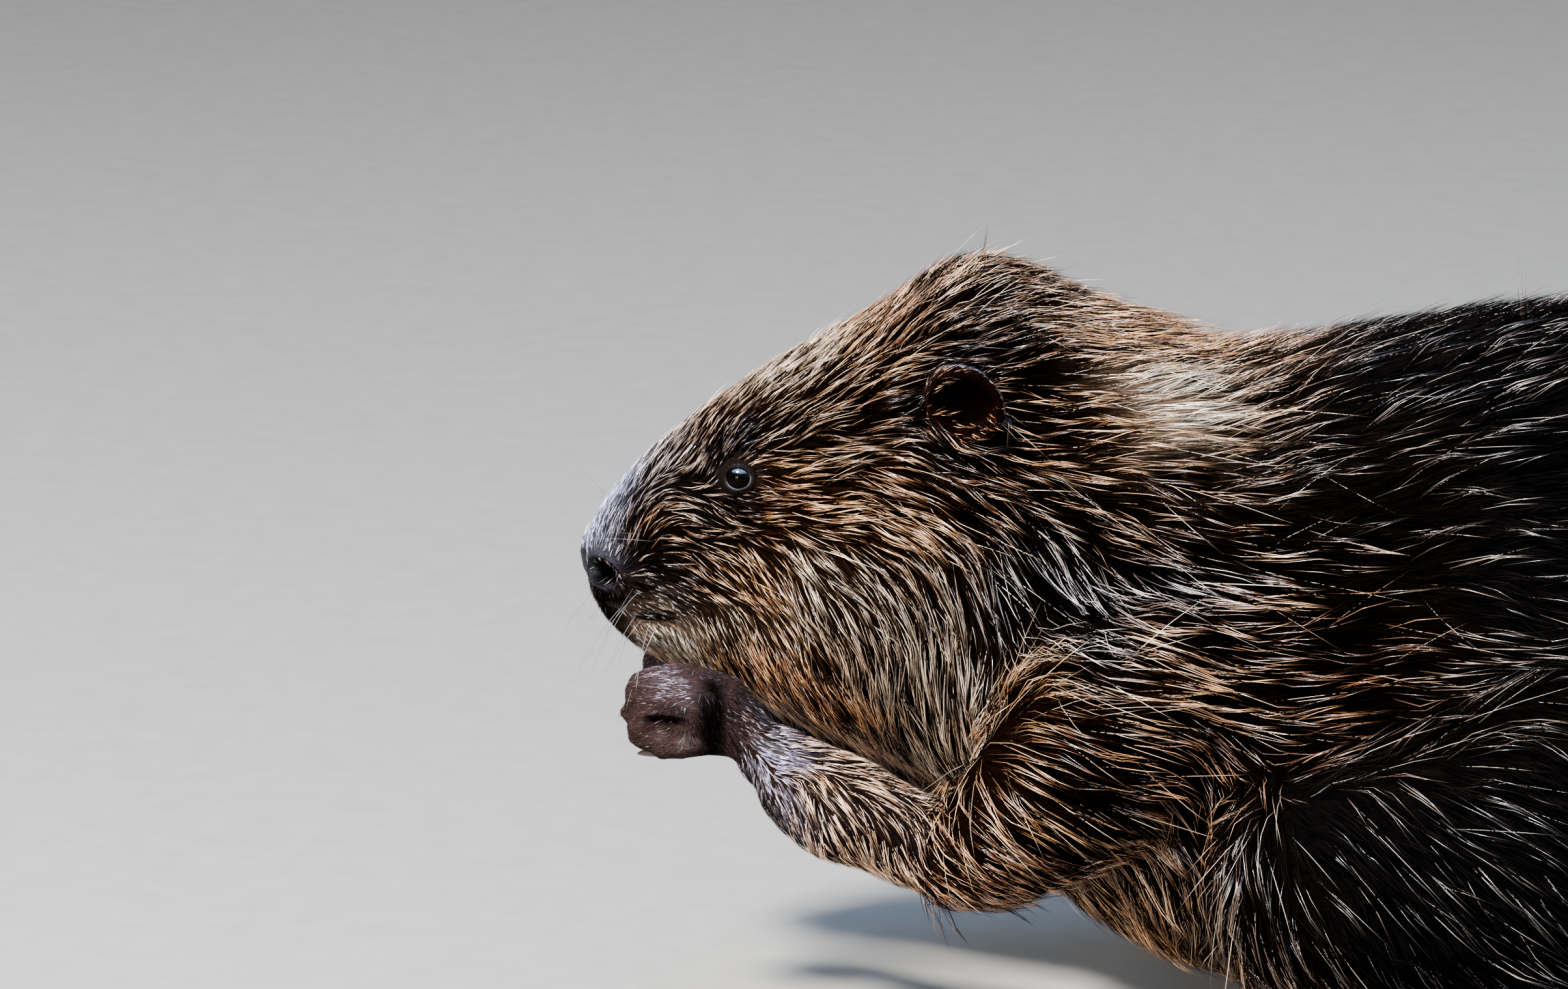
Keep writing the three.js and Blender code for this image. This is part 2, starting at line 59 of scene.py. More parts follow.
# ---------------------------------------------------------------- the lie of the coat
# A beaver wears dense under fur with long flat guard hairs over it. Wet, the guard hairs stick together in
# pointed locks that follow the lie of the coat. Each row is a place on the left side: its distance from the
# tip of the nose, from the middle and above the floor, the way the hair points (0 to the tail, 90 up, seen
# from the left), its length, the depth of the coat, all in millimetres and degrees, and its tint.
NOSE_TIP = cad_box[0].x
# The pale hairs are partly the hairs' own colour and partly painted highlight. The bluish and lilac whites of pale
# slate, slate, ash and lilac are painted highlight: sky light shining on wet hair.
TINTS = {  # colour of most hairs, colour of the pale hairs, share of pale hairs
    "pale slate": ((0.045, 0.044, 0.056), (0.66, 0.66, 0.84), 0.85),
    "slate": ((0.014, 0.013, 0.017), (0.56, 0.55, 0.68), 0.62),
    "slate tan": ((0.004, 0.0026, 0.0020), (0.86, 0.74, 0.68), 0.58),
    "black": ((0.0005, 0.0004, 0.0003), (0.010, 0.007, 0.006), 0.15),
    "umber": ((0.0009, 0.0005, 0.0004), (0.16, 0.080, 0.040), 0.34),
    "umber tan": ((0.0014, 0.0007, 0.0004), (0.90, 0.59, 0.36), 0.31),
    "tan": ((0.0044, 0.0018, 0.0007), (0.98, 0.62, 0.34), 0.58),
    "tan umber": ((0.0022, 0.0011, 0.0006), (1.00, 0.72, 0.48), 0.38),
    "cream tan": ((0.0080, 0.0034, 0.0014), (1.00, 0.81, 0.62), 0.54),
    "cream": ((0.260, 0.165, 0.105), (1.00, 0.93, 0.80), 0.96),
    "gold": ((0.0048, 0.0017, 0.0005), (1.00, 0.64, 0.33), 0.48),
    "gold tan": ((0.0050, 0.0019, 0.0006), (1.00, 0.63, 0.32), 0.58),
    "gold umber": ((0.0019, 0.0009, 0.0004), (0.96, 0.61, 0.34), 0.33),
    "umber gold": ((0.0012, 0.0006, 0.0003), (0.80, 0.45, 0.21), 0.25),
    "umber ash": ((0.0015, 0.0010, 0.0008), (0.54, 0.40, 0.30), 0.19),
    "back ash": ((0.0016, 0.0013, 0.0013), (0.42, 0.33, 0.30), 0.10),
    "ash umber": ((0.0026, 0.0021, 0.0020), (0.38, 0.32, 0.29), 0.13),
    "ash": ((0.0008, 0.0007, 0.0007), (1.00, 0.92, 0.94), 0.30),
    "rust": ((0.0040, 0.0013, 0.0005), (0.98, 0.57, 0.27), 0.51),
    "rust tan": ((0.0048, 0.0018, 0.0007), (1.00, 0.60, 0.30), 0.60),
    "russet": ((0.0032, 0.0014, 0.0008), (0.98, 0.66, 0.43), 0.50),
    "plum": ((0.0110, 0.0066, 0.0060), (0.42, 0.29, 0.28), 0.66),
    "lilac": ((0.115, 0.098, 0.130), (0.84, 0.78, 1.00), 0.92),
}
BODY_COAT = [
    ("nose front", (3, 9, 167), 75, 4, 0.8, "pale slate"),
    ("nose top", (9, 8, 178), 60, 5, 1.0, "pale slate"),
    ("nose bridge", (15, 12, 184), 52, 7, 1.4, "slate"),
    ("bridge back", (26, 13, 195), 46, 10, 2.0, "slate tan"),
    ("over the nostril", (8, 21, 165), 55, 4.0, 0.7, "pale slate"),
    ("muzzle low", (13, 22, 174), 72, 6.5, 1.4, "slate"),
    ("muzzle dark", (18, 26, 172), 78, 7.5, 1.4, "umber"),
    ("muzzle arc", (20, 24, 182), 58, 10, 2.0, "slate tan"),
    ("muzzle arc top", (27, 22, 188), 22, 12, 2.2, "slate tan"),
    ("muzzle arc rear", (34, 25, 187), -12, 13, 2.3, "tan umber"),
    ("pad fan low", (22, 27, 172), 75, 9, 1.8, "umber gold"),
    ("pad fan", (25, 27, 176), 50, 11, 2.1, "gold umber"),
    ("pad fan rear", (31, 28, 177), 14, 13, 2.3, "tan umber"),
    ("muzzle side", (37, 29, 183), -20, 13, 2.4, "slate tan"),
    ("behind the pad", (33, 30, 170), -4, 12, 2.1, "umber tan"),
    ("behind the nostril", (14, 27, 161), -35, 4.5, 1.0, "slate tan"),
    ("lip", (15, 28, 152), -65, 4, 0.9, "umber"),
    ("lip front", (9, 21, 148), -70, 3.5, 0.8, "umber"),
    ("mouth", (23, 31, 154), -15, 5.5, 1.1, "umber"),
    # painted shade: black hair in the deep shade under the whisker pad
    ("mouth low", (28, 31, 147), -25, 6, 1.2, "black"),
    ("mouth rear", (34, 31, 151), -25, 7, 1.4, "black"),
    ("pad", (26, 29, 163), -8, 7, 1.4, "umber"),
    ("corner", (42, 31, 157), -14, 11, 2.3, "umber tan"),
    ("chin top", (27, 30, 140), -50, 6, 1.8, "cream"),
    ("chin", (36, 29, 135), -55, 9, 2.8, "cream"),
    ("jowl low", (44, 31, 144), -58, 10, 2.8, "cream tan"),
    ("chin rear", (47, 29, 134), -68, 11, 3.0, "gold tan"),
    ("brow front", (43, 16, 208), 42, 9, 2.4, "umber tan"),
    ("forehead low", (60, 15, 221), 37, 13, 3.2, "cream tan"),
    ("forehead", (77, 17, 231), 33, 16, 4.2, "cream tan"),
    ("forehead high", (94, 17, 241), 32, 19, 5.2, "tan"),
    ("crown front", (114, 17, 253), 36, 19, 6.4, "umber tan"),
    ("crown", (131, 8, 265), 34, 16, 6.4, "umber tan"),
    ("crown back", (150, 16, 264), 30, 16, 7.4, "umber tan"),
    ("eye front", (47, 29, 198), 62, 5, 1.0, "umber"),
    ("eye over", (56, 30, 207), 25, 7, 1.6, "umber"),
    ("eye under", (56, 37, 185), -8, 7, 1.4, "umber"),
    ("eye behind", (69, 43, 198), -3, 11, 2.4, "tan"),
    ("temple low", (71, 36, 213), 22, 13, 3.2, "tan umber"),
    ("temple", (94, 34, 229), 26, 17, 4.6, "gold umber"),
    ("temple high", (110, 35, 239), 19, 18, 5.4, "gold umber"),
    ("ear over", (129, 42, 241), 5, 15, 5.5, "umber"),
    ("ear front", (111, 47, 223), 0, 11, 3.5, "umber"),
    ("ear under", (125, 56, 209), -24, 14, 5.0, "umber"),
    ("cheek top", (88, 48, 205), -8, 16, 4.2, "tan umber"),
    ("cheek top back", (106, 57, 200), -18, 17, 5.0, "tan"),
    ("cheek back", (119, 60, 191), -28, 18, 5.8, "gold tan"),
    ("cheek front", (47, 34, 181), -14, 14, 2.8, "tan umber"),
    ("cheek mid", (65, 44, 180), 4, 15, 3.6, "tan"),
    ("cheek", (85, 54, 188), 8, 17, 4.6, "tan"),
    ("cheek rear", (100, 58, 188), -10, 18, 5.2, "tan"),
    ("cheek low rear", (105, 61, 177), -18, 18, 5.6, "gold tan"),
    ("jowl front", (56, 39, 162), -26, 12, 3.2, "gold tan"),
    ("jowl", (78, 54, 168), -40, 16, 4.8, "cream tan"),
    ("jowl rear", (96, 60, 167), -50, 18, 5.6, "cream tan"),
    ("jowl back", (114, 61, 164), -60, 20, 6.4, "cream tan"),
    ("ear behind", (155, 47, 233), -5, 18, 7.0, "umber gold"),
    ("ear behind low", (155, 55, 218), -12, 19, 7.0, "umber gold"),
    ("nape side", (142, 60, 202), -18, 19, 7.0, "umber gold"),
    ("fold top", (132, 61, 190), -36, 20, 7.0, "umber tan"),
    ("fold mid", (131, 63, 166), -64, 22, 7.0, "cream tan"),
    ("neck top", (173, 26, 251), -6, 24, 8.0, "tan"),
    ("neck top back", (202, 19, 242), -4, 25, 8.0, "tan"),
    ("nape", (226, 21, 234), 3, 25, 7.5, "umber tan"),
    # painted highlight: this cream patch stands for light shining on the wet hair of the neck
    ("neck bright", (202, 47, 226), -2, 24, 8.0, "cream"),
    ("neck side", (176, 55, 217), -8, 22, 8.0, "gold"),
    ("neck rear", (234, 45, 223), 4, 25, 8.0, "umber tan"),
    ("back front", (272, 16, 240), 8, 27, 8.0, "back ash"),
    ("back top", (320, 15, 247), 6, 28, 8.0, "back ash"),
    ("back side", (262, 46, 228), 6, 27, 8.0, "back ash"),
    ("back side rear", (307, 52, 232), 6, 28, 8.0, "back ash"),
    ("withers side", (209, 66, 203), -14, 25, 8.0, "umber tan"),
    ("side high", (242, 63, 208), -2, 27, 8.0, "umber ash"),
    ("side high far", (325, 75, 214), 2, 28, 8.0, "back ash"),
    ("shoulder top", (157, 62, 197), -22, 22, 8.0, "umber tan"),
    ("shoulder high", (182, 68, 188), -20, 24, 8.0, "umber tan"),
    ("shoulder front", (154, 64, 176), -40, 23, 8.0, "ash"),
    ("shoulder edge", (142, 64, 161), -60, 24, 7.5, "ash"),
    ("shoulder", (169, 69, 164), -40, 26, 8.0, "ash"),
    ("shoulder rear", (197, 80, 169), -26, 26, 8.0, "ash"),
    ("shoulder low", (169, 81, 148), -48, 25, 7.5, "ash"),
    ("shoulder low rear", (194, 89, 152), -26, 25, 8.0, "tan"),
    ("side mid", (221, 81, 177), -10, 27, 8.0, "umber gold"),
    ("side", (247, 80, 184), 0, 28, 8.0, "umber ash"),
    ("side rear", (283, 84, 187), 8, 28, 8.0, "umber ash"),
    ("side far", (319, 91, 187), -3, 28, 8.0, "ash umber"),
    ("side low", (217, 91, 149), -2, 26, 8.0, "umber gold"),
    ("side low mid", (250, 89, 156), 7, 28, 8.0, "umber gold"),
    ("side low far", (322, 100, 160), -11, 28, 8.0, "ash umber"),
    ("fold hang", (124, 61, 150), -80, 24, 8.0, "cream tan"),
    ("fold hang front", (111, 61, 142), -72, 22, 7.0, "cream tan"),
    ("arm top", (152, 80, 136), -8, 22, 7.0, "gold"),
    ("arm top rear", (185, 96, 135), 0, 25, 7.5, "gold"),
    ("side bottom", (253, 92, 132), 9, 27, 8.0, "umber gold"),
    ("side bottom rear", (300, 99, 134), -2, 28, 8.0, "umber ash"),
    ("throat front", (60, 31, 128), -56, 15, 5.0, "rust tan"),
    ("throat", (83, 42, 122), -62, 19, 6.0, "rust"),
    ("throat back", (98, 43, 114), -80, 21, 7.0, "rust tan"),
    ("curtain", (110, 57, 133), -88, 24, 7.5, "cream tan"),
    ("curtain rear", (124, 56, 130), -84, 25, 7.5, "cream tan"),
    ("arm front", (116, 43, 106), -65, 26, 7.5, "cream tan"),
    ("arm mid", (130, 87, 103), -48, 26, 7.5, "tan"),
    ("arm outer", (145, 100, 93), -38, 25, 7.5, "gold"),
    ("arm low", (158, 101, 79), -30, 21, 6.0, "gold umber"),
    ("elbow", (138, 99, 69), -22, 14, 4.5, "rust"),
    ("chest low", (173, 36, 48), -25, 22, 6.5, "gold"),
    ("arm high", (143, 88, 120), -12, 25, 7.5, "gold"),
    ("arm rear", (165, 101, 112), -16, 26, 8.0, "umber gold"),
    ("ribs front", (187, 101, 103), -8, 26, 8.0, "umber gold"),
    ("ribs low", (181, 100, 87), -22, 26, 8.0, "gold umber"),
    ("groin top", (197, 78, 73), -52, 26, 8.0, "gold tan"),
    ("groin", (201, 57, 46), -76, 26, 7.5, "gold tan"),
    ("thigh top", (213, 81, 87), -48, 26, 8.0, "umber gold"),
    ("knee front", (218, 104, 80), -104, 25, 7.5, "umber ash"),
    ("knee low", (216, 59, 38), -110, 24, 7.0, "cream tan"),
    ("thigh front", (257, 116, 101), -52, 27, 8.0, "ash umber"),
    ("thigh mid", (294, 127, 93), -34, 28, 8.0, "ash umber"),
    ("thigh rear", (328, 128, 106), -22, 28, 8.0, "ash umber"),
    ("thigh low", (283, 130, 66), -52, 27, 7.5, "ash umber"),
    ("thigh low rear", (323, 128, 57), -38, 27, 7.5, "ash umber"),
    ("loin top", (478, 14, 256), -6, 28, 8.0, "back ash"),
    ("loin side", (440, 116, 150), -10, 28, 8.0, "ash umber"),
    ("haunch", (430, 126, 95), -22, 28, 8.0, "ash umber"),
    ("haunch low", (420, 122, 45), -30, 26, 7.5, "ash umber"),
    ("croup", (560, 14, 213), -36, 28, 8.0, "back ash"),
    ("croup side", (540, 88, 140), -26, 28, 8.0, "umber ash"),
    ("rump", (620, 12, 142), -58, 26, 8.0, "umber gold"),
    ("rump side", (605, 66, 70), -30, 26, 8.0, "umber ash"),
    ("rump low", (600, 40, 14), -4, 22, 7.0, "umber gold"),
    ("tail root top", (665, 8, 56), -22, 17, 5.5, "umber gold"),
    ("tail root side", (672, 28, 32), -10, 15, 5.0, "umber"),
    ("tail root end", (690, 18, 26), -6, 9, 3.0, "umber"),
    ("belly", (400, 20, 9), 0, 20, 7.0, "tan umber"),
    ("belly front", (250, 20, 10), -2, 20, 7.0, "umber gold"),
    ("chest", (172, 14, 34), -35, 22, 7.0, "rust"),
    ("chest front", (140, 14, 62), -62, 21, 7.0, "rust tan"),
    ("throat low", (110, 14, 84), -45, 19, 6.5, "rust tan"),
    ("throat mid", (70, 14, 104), -30, 15, 5.0, "rust tan"),
    ("chin mid", (34, 8, 122), -20, 9, 2.6, "gold tan"),
    ("lip mid", (10, 6, 142), -60, 3, 0.8, "umber"),
    ("inner arm", (175, 48, 110), -60, 14, 4.0, "rust"),
    ("inner thigh", (300, 62, 60), -50, 16, 5.0, "umber gold"),
    ("shank", (330, 88, 26), -30, 9, 3.0, "umber"),
]
HAND_COAT = [
    ("forearm elbow", (114, 84, 62), -30, 12, 2.4, "russet"),
    ("forearm low", (98, 80, 80), -66, 18, 2.8, "russet"),
    ("forearm", (84, 72, 94), -72, 17, 2.6, "russet"),
    ("forearm top", (88, 66, 104), -40, 12, 1.6, "russet"),
    ("forearm inside", (92, 48, 84), -70, 9, 1.8, "umber"),
    ("forearm front", (66, 60, 104), -34, 9, 0.9, "lilac"),
    ("forearm under", (66, 58, 92), -50, 8, 1.0, "umber"),
    ("wrist", (56, 55, 112), -30, 6, 0.8, "plum"),
    # painted shade: black hair along the crease between the fist and the forearm
    ("wrist cleft", (48, 53, 114), -60, 4, 0.7, "black"),
    ("wrist cleft top", (49, 50, 124), -60, 4, 0.7, "black"),
    ("wrist cleft low", (50, 53, 103), -60, 4, 0.7, "black"),
    ("back of the paw", (38, 48, 126), 172, 4.2, 0.5, "lilac"),
    ("knuckles", (22, 40, 120), 190, 4.0, 0.45, "plum"),
    ("fingers", (26, 44, 104), 200, 3.9, 0.4, "plum"),
]
FOOT_COAT = [
    ("instep", (320, 92, 26), 180, 7, 1.8, "umber"),
    ("foot", (280, 100, 18), 180, 5, 1.2, "umber ash"),
    ("toes", (235, 108, 12), 180, 3.2, 0.7, "plum"),
]
EAR_COAT = [
    ("ear front", (120, 60, 225), 40, 7.0, 0.8, "umber gold"),
    ("ear top", (130, 61, 239), 20, 5.0, 0.7, "slate"),
    ("ear rear", (143, 61, 226), -10, 4.6, 0.7, "umber gold"),
    ("ear low", (131, 61, 211), -5, 6.0, 0.9, "umber gold"),
]


def place_of(row_place, side):
    """Where a place of a table lies in metres, on the left side (-1) or the right (1)."""
    along, aside, up = row_place
    return NOSE_TIP + along / 1000, side * aside / 1000, up / 1000


def shares_off(places, row_place, reach):
    """How far places on either side lie from a place of a table, in shares of a reach along, aside and up."""
    folded = (places - np.array((NOSE_TIP, 0, 0))) * 1000
    folded[..., 1] = np.abs(folded[..., 1])
    return np.linalg.norm((folded - np.array(row_place)) / np.array(reach), axis=-1)


def unit(vectors, least=0.0):
    """Vectors brought to a length of 1."""
    return vectors / (np.linalg.norm(vectors, axis=-1, keepdims=True) + least)


def rows_as_arrays(rows):
    """The columns of a coat table, with every place repeated on the right side, in metres."""
    places, combs, sizes, tints = [], [], [], []
    for _, row_place, angle, length, depth, tint in rows:
        dark, pale, share = TINTS[tint]
        turn = math.radians(angle)
        for side in (-1, 1):
            places.append(place_of(row_place, side))
            combs.append((math.cos(turn), 0.0, math.sin(turn)))
            sizes.append((length / 1000, depth / 1000, share))
            tints.append(dark + pale)
    return [np.array(column) for column in (places, combs, sizes, tints)]


AT_ONCE = 20000  # points worked out together
OTHER_WAY = 900  # a row whose place faces the other way counts as further off, by this in square mm
ROW_CORE, ROW_FALL = 30, 2.2  # the square mm over which a row holds evenly, and how fast it gives way outside


def lie_at(points, normals, table, table_normals):
    """How the hair lies at some points of the hide: comb direction, length, depth, share and the two tints."""
    places, combs, sizes, tints = table
    out = np.zeros((len(points), 12))
    for start in range(0, len(points), AT_ONCE):
        part = slice(start, start + AT_ONCE)
        away = ((points[part, None] - places[None]) ** 2).sum(2) * 1e6
        facing = 1 - normals[part] @ table_normals.T
        weight = 1 / (away + OTHER_WAY * facing + ROW_CORE) ** ROW_FALL
        weight /= weight.sum(1, keepdims=True)
        out[part] = weight @ np.hstack([combs, sizes, tints])
    comb = unit(out[:, :3] - normals * (out[:, :3] * normals).sum(1, keepdims=True), 1e-9)
    return comb, out[:, 3], out[:, 4], out[:, 5], out[:, 6:9], out[:, 9:12]


# ---------------------------------------------------------------- the hide
# One skin over the head, neck, trunk, legs, ears, nose and feet, drawn tight over the flesh. It lies under the
# tips of the coat by the depth of the fur, is bare at the nose, lids, soles and inside the ears, and is dark.
FLESH = [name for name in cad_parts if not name.startswith(("eye_", "claw_")) and name != "tail"]
OVERLAP = 0.0004  # each piece is swelled by this much, so that neighbours grow together
HIDE_CELL, HIDE_FACES = 0.00125, 180000
EYE_RADIUS = 0.0063
EYE_CENTRES = {}
for side_word in ("left", "right"):
    low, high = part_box("eye_" + side_word)
    EYE_CENTRES[side_word] = (low + high) / 2


def mesh_arrays(obj):
    """Vertex places and normals of an object's mesh."""
    count = len(obj.data.vertices)
    places, normals = np.empty(count * 3), np.empty(count * 3)
    obj.data.vertices.foreach_get("co", places)
    obj.data.vertex_normals.foreach_get("vector", normals)
    return places.reshape(-1, 3), normals.reshape(-1, 3)


def edge_ends(obj):
    ends = np.empty(len(obj.data.edges) * 2, dtype=np.int32)
    obj.data.edges.foreach_get("vertices", ends)
    return ends.reshape(-1, 2)


def place_vertices(obj, places):
    obj.data.vertices.foreach_set("co", np.ascontiguousarray(places, dtype=np.float32).ravel())
    obj.data.update()


def shade_smooth(obj):
    obj.data.polygons.foreach_set("use_smooth", [True] * len(obj.data.polygons))


def select_only(*objects):
    """Selects these objects and nothing else, and makes the first of them the active one."""
    bpy.ops.object.select_all(action="DESELECT")
    for obj in objects:
        obj.select_set(True)
    bpy.context.view_layer.objects.active = objects[0]


def point_tree(points, numbers):
    """A tree that finds the nearest of some points by its number."""
    tree = KDTree(len(points))
    for point, number in zip(points.tolist(), numbers):
        tree.insert(point, number)
    tree.balance()
    return tree


def merged_copy(node, name):
    """A copy of a solid with its loose triangles merged, as an object of its own."""
    copy = bpy.data.objects.new(name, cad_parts[node].data.copy())
    bpy.context.scene.collection.objects.link(copy)
    select_only(copy)
    copy.data.materials.clear()
    bpy.ops.object.mode_set(mode="EDIT")
    bpy.ops.mesh.select_all(action="SELECT")
    bpy.ops.mesh.remove_doubles(threshold=1e-5)
    bpy.ops.mesh.normals_make_consistent(inside=False)
    bpy.ops.object.mode_set(mode="OBJECT")
    while copy.data.uv_layers:
        copy.data.uv_layers.remove(copy.data.uv_layers[0])
    return copy


def finish_with(obj, kind, **settings):
    """Adds a modifier and applies it."""
    modifier = obj.modifiers.new("finish", kind)
    for key, value in settings.items():
        setattr(modifier, key, value)
    select_only(obj)
    bpy.ops.object.modifier_apply(modifier=modifier.name)


flesh_pieces = []
solid_points, solid_faces, solid_owner = [], [], []
for name in FLESH:
    piece = merged_copy(name, "flesh_" + name)
    places, normals = mesh_arrays(piece)
    first = sum(len(p) for p in solid_points)
    solid_points.append(places)
    for face in piece.data.polygons:
        solid_faces.append([first + i for i in face.vertices])
        solid_owner.append(name)
    place_vertices(piece, places + normals * OVERLAP)
    flesh_pieces.append(piece)
for centre in EYE_CENTRES.values():
    bpy.ops.mesh.primitive_uv_sphere_add(segments=24, ring_count=16, radius=EYE_RADIUS - OVERLAP, location=centre)
    flesh_pieces.append(bpy.context.object)
PALM_PAD, PALM_PAD_SIZE = (30.0, 37.5, 104.2), (0.013, 0.0090, 0.0072)  # the pad that closes each fist
for side in (-1, 1):
    bpy.ops.mesh.primitive_uv_sphere_add(
        segments=24, ring_count=16, radius=1, location=place_of(PALM_PAD, side), scale=PALM_PAD_SIZE
    )
    flesh_pieces.append(bpy.context.object)
select_only(*flesh_pieces)
bpy.ops.object.join()
hide = bpy.context.object
hide.name = hide.data.name = "hide"
bpy.ops.object.transform_apply(location=True, rotation=True, scale=True)
finish_with(hide, "REMESH", mode="VOXEL", voxel_size=HIDE_CELL)
finish_with(hide, "SMOOTH", factor=0.5, iterations=9)

# Long hair bridges the fold where the upper arm lies against the throat, so the hide is eased over it.
FOLD_PLACE, FOLD_REACH = (140.0, 68.0, 122.0), (34.0, 44.0, 30.0)
FOLD_EDGE, FOLD_EASE, FOLD_ROUNDS = 1.3, 0.5, 260
places, _ = mesh_arrays(hide)
ends = edge_ends(hide)
ease = np.clip(FOLD_EDGE - shares_off(places, FOLD_PLACE, FOLD_REACH), 0, FOLD_EASE)
ends = ends[(ease[ends] > 0).any(1)]
some, local = np.unique(ends, return_inverse=True)
local = local.reshape(-1, 2)
eased, share = places[some], ease[some][:, None]
neighbours = np.bincount(local.ravel(), minlength=len(some))[:, None]
for _ in range(FOLD_ROUNDS):
    total = np.stack(
        [
            np.bincount(local[:, 0], eased[local[:, 1], axis], len(some))
            + np.bincount(local[:, 1], eased[local[:, 0], axis], len(some))
            for axis in range(3)
        ],
        axis=1,
    )
    eased = eased * (1 - share) + total / neighbours * share
places[some] = eased
place_vertices(hide, places)

# The nostrils open sideways. Behind and below them the mouth is a hollow line between the whisker pad and the
# chin. The slit of the fist, the dip behind the mouth and the dip under the eye are sunk in the same way.
NOSTRIL = (7.2, 20.7, 158.0)
HOLLOWS = [  # place, half length, half height and depth in mm, and how far its length leans outward
    (NOSTRIL, 8.4, 3.5, 4.8, 0.72),
    ((27.0, 31.5, 146.5), 9.0, 2.2, 1.6, 0.15),
    ((14.0, 26.5, 148.6), 7.0, 1.5, 1.2, 0.70),
    ((31.0, 46.5, 111.4), 8.0, 1.3, 1.4, 0.33),
    ((28.0, 31.5, 150.5), 9.0, 5.0, 1.9, 0.15),
    ((50.0, 34.0, 177.0), 9.0, 3.0, 0.8, 0.30),
]
SWELLINGS = [  # the rim under the nostril, the whisker pad and the flesh of the forearm, in the same way
    ((4.6, 17.0, 153.6), 4.0, 2.0, 0.9, 0.6),
    ((19.0, 29.0, 160.5), 8.0, 5.0, 1.6, 0.4),
    ((80.0, 70.0, 82.0), 30.0, 16.0, 6.0, 0.4),
]
FORM_THICK = 9  # how far in mm a hollow or swelling is felt in and out
FORM_END, FORM_SLOPE = 1.35, 0.75  # where its edge ends and how wide its slope is, in shares of its half size
OPENING_FROM = 2  # a hollow deeper than this many mm is an opening, and its skin is painted dark inside as shade
places, normals = mesh_arrays(hide)
reach_down = np.zeros(len(places))
opening_shade_share = np.zeros(len(places))
for forms, sign in ((HOLLOWS, 1), (SWELLINGS, -1)):
    for form_place, half_long, half_high, deep, lean in forms:
        for side in (-1, 1):
            off = places - np.array(place_of(form_place, side))
            length_way = np.array((math.sqrt(1 - lean * lean), side * lean, 0))
            depth_way = np.cross(length_way, (0, 0, 1))
            lengthwise, inward = (off @ length_way) / half_long, (off @ depth_way) / FORM_THICK
            spread_out = np.sqrt(lengthwise**2 + (off[:, 2] / half_high) ** 2 + inward**2) * 1000
            share = np.clip((FORM_END - spread_out) / FORM_SLOPE, 0, 1)
            share = share * share * (3 - 2 * share)
            reach_down += sign * deep / 1000 * share
            if sign == 1 and deep > OPENING_FROM:
                opening_shade_share = np.maximum(opening_shade_share, share)
places = places - normals * reach_down[:, None]
place_vertices(hide, places)
openings = np.flatnonzero(opening_shade_share > 0.02)
opening_tree = point_tree(places[openings], openings.tolist())
finish_with(hide, "DECIMATE", ratio=HIDE_FACES / (2 * len(hide.data.polygons)))
shade_smooth(hide)

whole_solid = BVHTree.FromPolygons(np.concatenate(solid_points).tolist(), solid_faces)
places, normals = mesh_arrays(hide)
owners = np.array([solid_owner[whole_solid.find_nearest(p)[2]] for p in places.tolist()])
HAND, FOOT, EAR, BODY = 0, 1, 2, 3
kind_of = {name: BODY for name in FLESH}
for start, kind in (("forearm", HAND), ("forepaw", HAND), ("hindfoot", FOOT), ("ear", EAR)):
    kind_of.update({name: kind for name in FLESH if name.startswith(start)})
kinds = np.array([kind_of[name] for name in owners])

tree = point_tree(places, range(len(places)))
coat_tables = {}
for kind, rows in ((HAND, HAND_COAT), (FOOT, FOOT_COAT), (EAR, EAR_COAT), (BODY, BODY_COAT)):
    table = rows_as_arrays(rows)
    nearest = [tree.find(p)[1] for p in table[0].tolist()]
    coat_tables[kind] = (table, normals[nearest])


def whole_lie(points, normals, kinds):
    """The lie of the coat at points of any part of the hide."""
    comb = np.zeros((len(points), 3))
    length, depth, share = (np.zeros(len(points)) for _ in range(3))
    dark, pale = np.zeros((len(points), 3)), np.zeros((len(points), 3))
    for kind, (table, table_normals) in coat_tables.items():
        mine = kinds == kind
        if mine.any():
            got = lie_at(points[mine], normals[mine], table, table_normals)
            comb[mine], length[mine], depth[mine], share[mine], dark[mine], pale[mine] = got
    return comb, length, depth, share, dark, pale


comb, length, depth, share, dark, pale = whole_lie(places, normals, kinds)

# the depth is evened out over the hide, so that it sinks without a step between leg, ear and body
DEPTH_ROUNDS = 14
ROUND_THE_EYE, LID_DEPTH = 0.012, 0.0009  # near the eye the hide lies no deeper than this
SNOUT_LONG, OPENING_GAP = 0.07, 0.0015  # where openings are looked for, and how near to one the skin is painted dark as shade
HIDE_DEPTH = 0.92  # share of the coat's depth that the hide lies under its face
edges = edge_ends(hide)
for _ in range(DEPTH_ROUNDS):
    total, count = np.zeros(len(depth)), np.zeros(len(depth))
    for a, b in ((0, 1), (1, 0)):
        np.add.at(total, edges[:, a], depth[edges[:, b]])
        np.add.at(count, edges[:, a], 1)
    depth = 0.5 * depth + 0.5 * total / np.maximum(count, 1)
near_eye = np.min([np.linalg.norm(places - np.array(c), axis=1) for c in EYE_CENTRES.values()], axis=0)
depth = np.where(near_eye < ROUND_THE_EYE, np.minimum(depth, LID_DEPTH), depth)
# painted shade: the skin inside and next to the nostril openings is darkened
painted_opening_shade = np.zeros(len(places))
for i in np.flatnonzero(places[:, 0] < NOSE_TIP + SNOUT_LONG).tolist():
    _, nearest, gap = opening_tree.find(places[i].tolist())
    if gap < OPENING_GAP:
        painted_opening_shade[i] = opening_shade_share[nearest]
places = places - normals * (depth[:, None] * HIDE_DEPTH + OVERLAP)
place_vertices(hide, places)
places, normals = mesh_arrays(hide)

